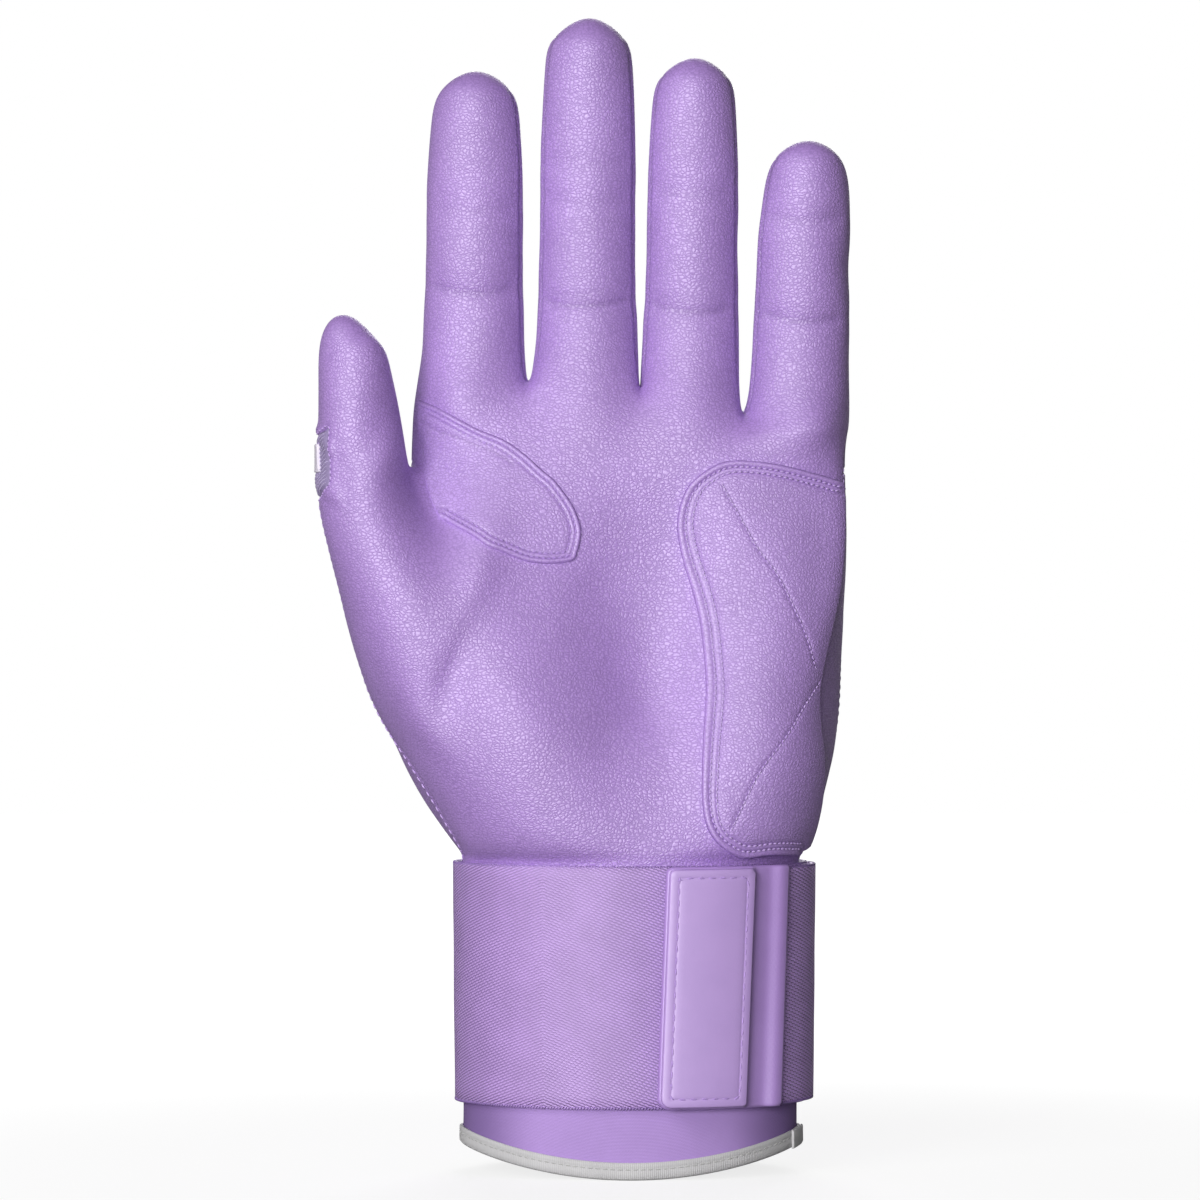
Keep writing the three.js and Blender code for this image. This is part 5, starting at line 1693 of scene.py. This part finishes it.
# The tab's leather, with rounded ends at its free side. It sinks a little beside the moulded
# patch and rises where it is turned over the strap's end.
def roundedOutline(start, end, low, high, corners, step=0.6):
    turns = np.linspace(0, math.pi / 2, 9)
    below, above = corners
    bottom = np.column_stack([start + below * (1 - np.sin(turns)), low + below * (1 - np.cos(turns))])
    top = np.column_stack([start + above * (1 - np.cos(turns)), high - above * (1 - np.sin(turns))])
    return evenly(np.vstack([top, [[end, high], [end, low]], bottom, top[:1]]), step)[:-1]


def layOnWrist(layer):
    def lay(flat, heights):
        along, up = flat.T
        lean = growDown(-wrist["tab"]["lean"], up)
        return list(onWrist(along + lean, layer["out"] + heights - drawnIn(up), up))
    return lay


def makeTab():
    tab, rubber = wrist["tab"], wrist["rubber"]
    start, end = alongAt(wrist["tabTip"]), alongAt(wrist["tabSeam"])
    edge = start + rubber["inset"] + rubber["width"]
    outline = roundedOutline(start, end, bandBottom, bandTop, tab["corners"])

    def heightAt(flat):
        along, up = flat.T
        rise = profileAt(tab["profile"], distanceTo(outline, flat, closed=True))
        hollow = smoothStep((along - edge) / 1.2) * (1 - smoothStep((along - edge - 4.5) / 2.5))
        turned = smoothStep((along - edge - 4) / 2.6) * smoothStep((end - along) / 0.5 + 0.4)
        return rise - 0.55 * hollow + (0.55 + growDown(0.25, up)) * turned

    piece, _ = makePlate("strapEnd", "tab", outline, tab["profile"], layOnWrist(tab), heightAt, bottom=0.0)
    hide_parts("strap_end")
    return piece


def makeRubber():
    rubber = wrist["rubber"]
    start = alongAt(wrist["tabTip"]) + rubber["inset"]
    end = start + rubber["width"]
    low, high = bandBottom + rubber["inset"], bandTop - rubber["inset"]
    outline = roundedOutline(start, end, low, high, rubber["corners"])
    piece, _ = makePlate("pullPatch", "rubber", outline, rubber["profile"], layOnWrist(rubber), bottom=-0.15)
    standFor(piece, "pull_patch", "tab")
    sewn = rubber["stitches"]
    inset = sewn["left"]
    row = roundedOutline(start + inset, end - sewn["right"], low + inset, high - inset, sewn["corners"])
    row = evenly(np.vstack([row, row[:1]]), stitchStep)
    laid = np.array(layOnWrist(rubber)(row, np.full(len(row), sewn["out"])))
    stitchRows.append((laid, outwards(row[:, 0]), "bold", "tab"))


noise.seed_set(7)
makeBand()
makeSleeve()
makeTapeEdge()
strap, tongue, strapEdges = makeStrap()
makePile("loop", "glove")
makePile("hook", "tab")
strapEnd = makeTab()
makeRubber()
print("wrist band, sleeve, strap and tab")


# Geometry Nodes for what repeats. Each tree takes a piece's lines or points, which carry the
# surface's normal as "up", and is turned into a mesh.
def newTree(name, inputs):
    return startGroup(name, {"Geometry": "Geometry", **inputs}, {"Geometry": "Geometry"}, "GeometryNodeTree")


def upOf(tree):
    node = addNode(tree, "GeometryNodeInputNamedAttribute", {"Name": "up"}, data_type="FLOAT_VECTOR")
    return node.outputs["Attribute"]


# A small ball, stretched and turned, on every point
def layBalls(tree, points, first, second, axes, spin, segments, rings, size):
    inputs = {"Primary Axis": first, "Secondary Axis": second}
    turn = addNode(tree, "FunctionNodeAxesToRotation", inputs, primary_axis=axes[0], secondary_axis=axes[1])
    inputs = {"Rotation": turn.outputs["Rotation"], "Rotate By": spin}
    turn = addNode(tree, "FunctionNodeRotateRotation", inputs, rotation_space="LOCAL").outputs["Rotation"]
    ball = addNode(tree, "GeometryNodeMeshUVSphere", {"Segments": segments, "Rings": rings, "Radius": 0.5})
    scale = addNode(tree, "ShaderNodeCombineXYZ", dict(zip("XYZ", size))).outputs["Vector"]
    inputs = {"Points": points, "Instance": ball.outputs["Mesh"], "Rotation": turn, "Scale": scale}
    return addNode(tree, "GeometryNodeInstanceOnPoints", inputs).outputs["Instances"]


def endTree(tree, out, geometry, material):
    real = addNode(tree, "GeometryNodeRealizeInstances", {"Geometry": geometry}).outputs["Geometry"]
    smooth = addNode(tree, "GeometryNodeSetShadeSmooth", {"Geometry": real}).outputs["Geometry"]
    painted = addNode(tree, "GeometryNodeSetMaterial", {"Geometry": smooth, "Material": material})
    feed(tree, out, {"Geometry": painted.outputs["Geometry"]})
    return tree


# Rows of stitches: a small thread on every pitch along the lines
def makeStitchTree():
    sizes = {key: "Float" for key in ("Pitch", "Length", "Thickness", "Slant")}
    tree, given, out = newTree("stitchRow", {**sizes, "Thread": "Material"})
    curve = addNode(tree, "GeometryNodeMeshToCurve", {"Mesh": given["Geometry"]}).outputs["Curve"]
    inputs = {"Curve": curve, "Length": given["Pitch"]}
    rows = addNode(tree, "GeometryNodeResampleCurve", inputs, mode="LENGTH").outputs["Curve"]
    tangent = addNode(tree, "GeometryNodeInputTangent").outputs["Tangent"]
    slant = addNode(tree, "ShaderNodeCombineXYZ", {"Z": given["Slant"]}).outputs["Vector"]
    size = given["Length"], given["Thickness"], given["Thickness"]
    stitches = layBalls(tree, rows, tangent, upOf(tree), "XZ", slant, 8, 5, size)
    return endTree(tree, out, stitches, given["Thread"])


def runTree(piece, tree, values):
    modifier = piece.modifiers.new(tree.name, "NODES")
    modifier.node_group = tree
    for socket in tree.interface.items_tree:
        if socket.in_out == "INPUT" and socket.name in values:
            modifier[socket.identifier] = values[socket.name]
    bpy.context.view_layer.update()
    made = bpy.data.meshes.new_from_object(piece.evaluated_get(bpy.context.evaluated_depsgraph_get()))
    piece.modifiers.clear()
    made.name = piece.name
    piece.data = made
    return piece


def lineObject(name, rows, joined=True):
    points, ups, edges = [], [], []
    for line, normals in rows:
        edges += [(len(points) + i, len(points) + i + 1) for i in range(joined * (len(line) - 1))]
        points += (np.asarray(line) * mm).tolist()
        ups += np.asarray(normals).tolist()
    mesh = bpy.data.meshes.new(name)
    mesh.from_pydata(points, edges, [])
    attribute = mesh.attributes.new("up", "FLOAT_VECTOR", "POINT")
    attribute.data.foreach_set("vector", np.array(ups, np.float32).ravel())
    return addObject(name, mesh)


def rideIn(piece, body):
    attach(piece, body)
    print(piece.name, len(piece.data.polygons), "faces")


stitches = {  # pitch, length, thickness, slant and thread
    "fine": (1.25, 0.98, 0.42, 0.12, "thread"),
    "light": (1.2, 0.95, 0.36, 0.08, "thread"),
    "faint": (1.25, 0.9, 0.3, 0.1, "darkThread"),
    "bold": (2.4, 1.55, 0.36, 0.0, "darkThread"),
    "tape": (1.6, 1.2, 0.3, 0.0, "greyThread"),
    "seam": (1.9, 1.3, 0.36, 0.0, "thread"),
    "anchor": (1.6, 1.2, 0.4, 0.0, "thread"),
    "loops": (0.66, 0.9, 0.42, 0.75, "elastic"),
}
stitchTree = makeStitchTree()


def sewRows(name, rows, kind):
    pitch, length, thickness, slant, thread = stitches[kind]
    return runTree(lineObject(name, rows), stitchTree, {
        "Pitch": pitch * mm, "Length": length * mm, "Thickness": thickness * mm, "Slant": slant,
        "Thread": materials[thread]})


for kind in stitches:
    for body in ("glove", "strap", "tab"):
        rows = [row[:2] for row in stitchRows if row[2:] == (kind, body)]
        if rows:
            rideIn(sewRows(f"{kind}Stitches.{body}", rows, kind), body)


# Cords along lines, thinner at their ends
def makeCordTree():
    tree, given, out = newTree("ribCords", {"Radius": "Float", "Sides": "Int", "Cloth": "Material"})
    curve = addNode(tree, "GeometryNodeMeshToCurve", {"Mesh": given["Geometry"]}).outputs["Curve"]
    factor = addNode(tree, "GeometryNodeSplineParameter").outputs["Factor"]
    fromEnd = calc(tree, "MULTIPLY", calc(tree, "MULTIPLY", factor, calc(tree, "SUBTRACT", 1.0, factor)), 4.0)
    swell = calc(tree, "MULTIPLY", calc(tree, "POWER", fromEnd, 0.25), given["Radius"])
    sized = addNode(tree, "GeometryNodeSetCurveRadius", {"Curve": curve, "Radius": swell}).outputs["Curve"]
    ring = addNode(tree, "GeometryNodeCurvePrimitiveCircle", {"Resolution": given["Sides"], "Radius": 1.0})
    inputs = {"Curve": sized, "Profile Curve": ring.outputs["Curve"], "Fill Caps": True}
    cords = addNode(tree, "GeometryNodeCurveToMesh", inputs)
    if "Scale" in cords.inputs:
        feed(tree, cords, {"Scale": swell})
    return endTree(tree, out, cords.outputs["Mesh"], given["Cloth"])


cordTree = makeCordTree()
for owner, degrees, slope, pitch, radius, margin in ribSets:
    piece = lineObject(owner.split("_")[0] + "Ribs", ribLines(owner, degrees, slope, pitch, margin))
    runTree(piece, cordTree, {"Radius": radius * mm, "Sides": 8, "Cloth": materials["cord"]})
    rideIn(piece, "glove")


# Hooks and loops: a small tuft on every point, standing along its normal
def makeTuftTree():
    sizes = {"Long": "Float", "Thick": "Float", "Seed": "Int"}
    tree, given, out = newTree("tufts", {**sizes, "Pile": "Material"})
    inputs = {"Min": (-0.5, -0.5, 0), "Max": (0.5, 0.5, 6.28), "Seed": given["Seed"]}
    spin = addNode(tree, "FunctionNodeRandomValue", inputs, data_type="FLOAT_VECTOR").outputs["Value"]
    size = given["Thick"], given["Thick"], given["Long"]
    tufts = layBalls(tree, given["Geometry"], upOf(tree), (0, 0, 1), "ZX", spin, 6, 4, size)
    return endTree(tree, out, tufts, given["Pile"])


tuftTree = makeTuftTree()
for name, points, normals, tufts, body in tuftSets:
    piece = lineObject(name, [(points, normals)], joined=False)
    runTree(piece, tuftTree, {"Long": tufts["long"] * mm, "Thick": tufts["thick"] * mm, "Seed": 3,
                              "Pile": materials["pile"]})
    rideIn(piece, body)


# The strap, its edge loops, the tab and the tongue have their transforms baked into their meshes
def bendOver(piece, start, bend, out):
    near, far = (onWrist(start - away, out, bandBottom + 25) * mm for away in bend)
    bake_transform(piece)


strapLoops = sewRows("strapEdgeLoops", strapEdges, "loops")
for piece in (strap, strapLoops):
    bendOver(piece, alongAt(wrist["anchor"]), wrist["strap"]["bend"], wrist["strap"]["out"])
for piece in (strapEnd, tongue):
    bendOver(piece, alongAt(wrist["tabSeam"]), wrist["tab"]["bend"], wrist["tab"]["out"])
print("strap")
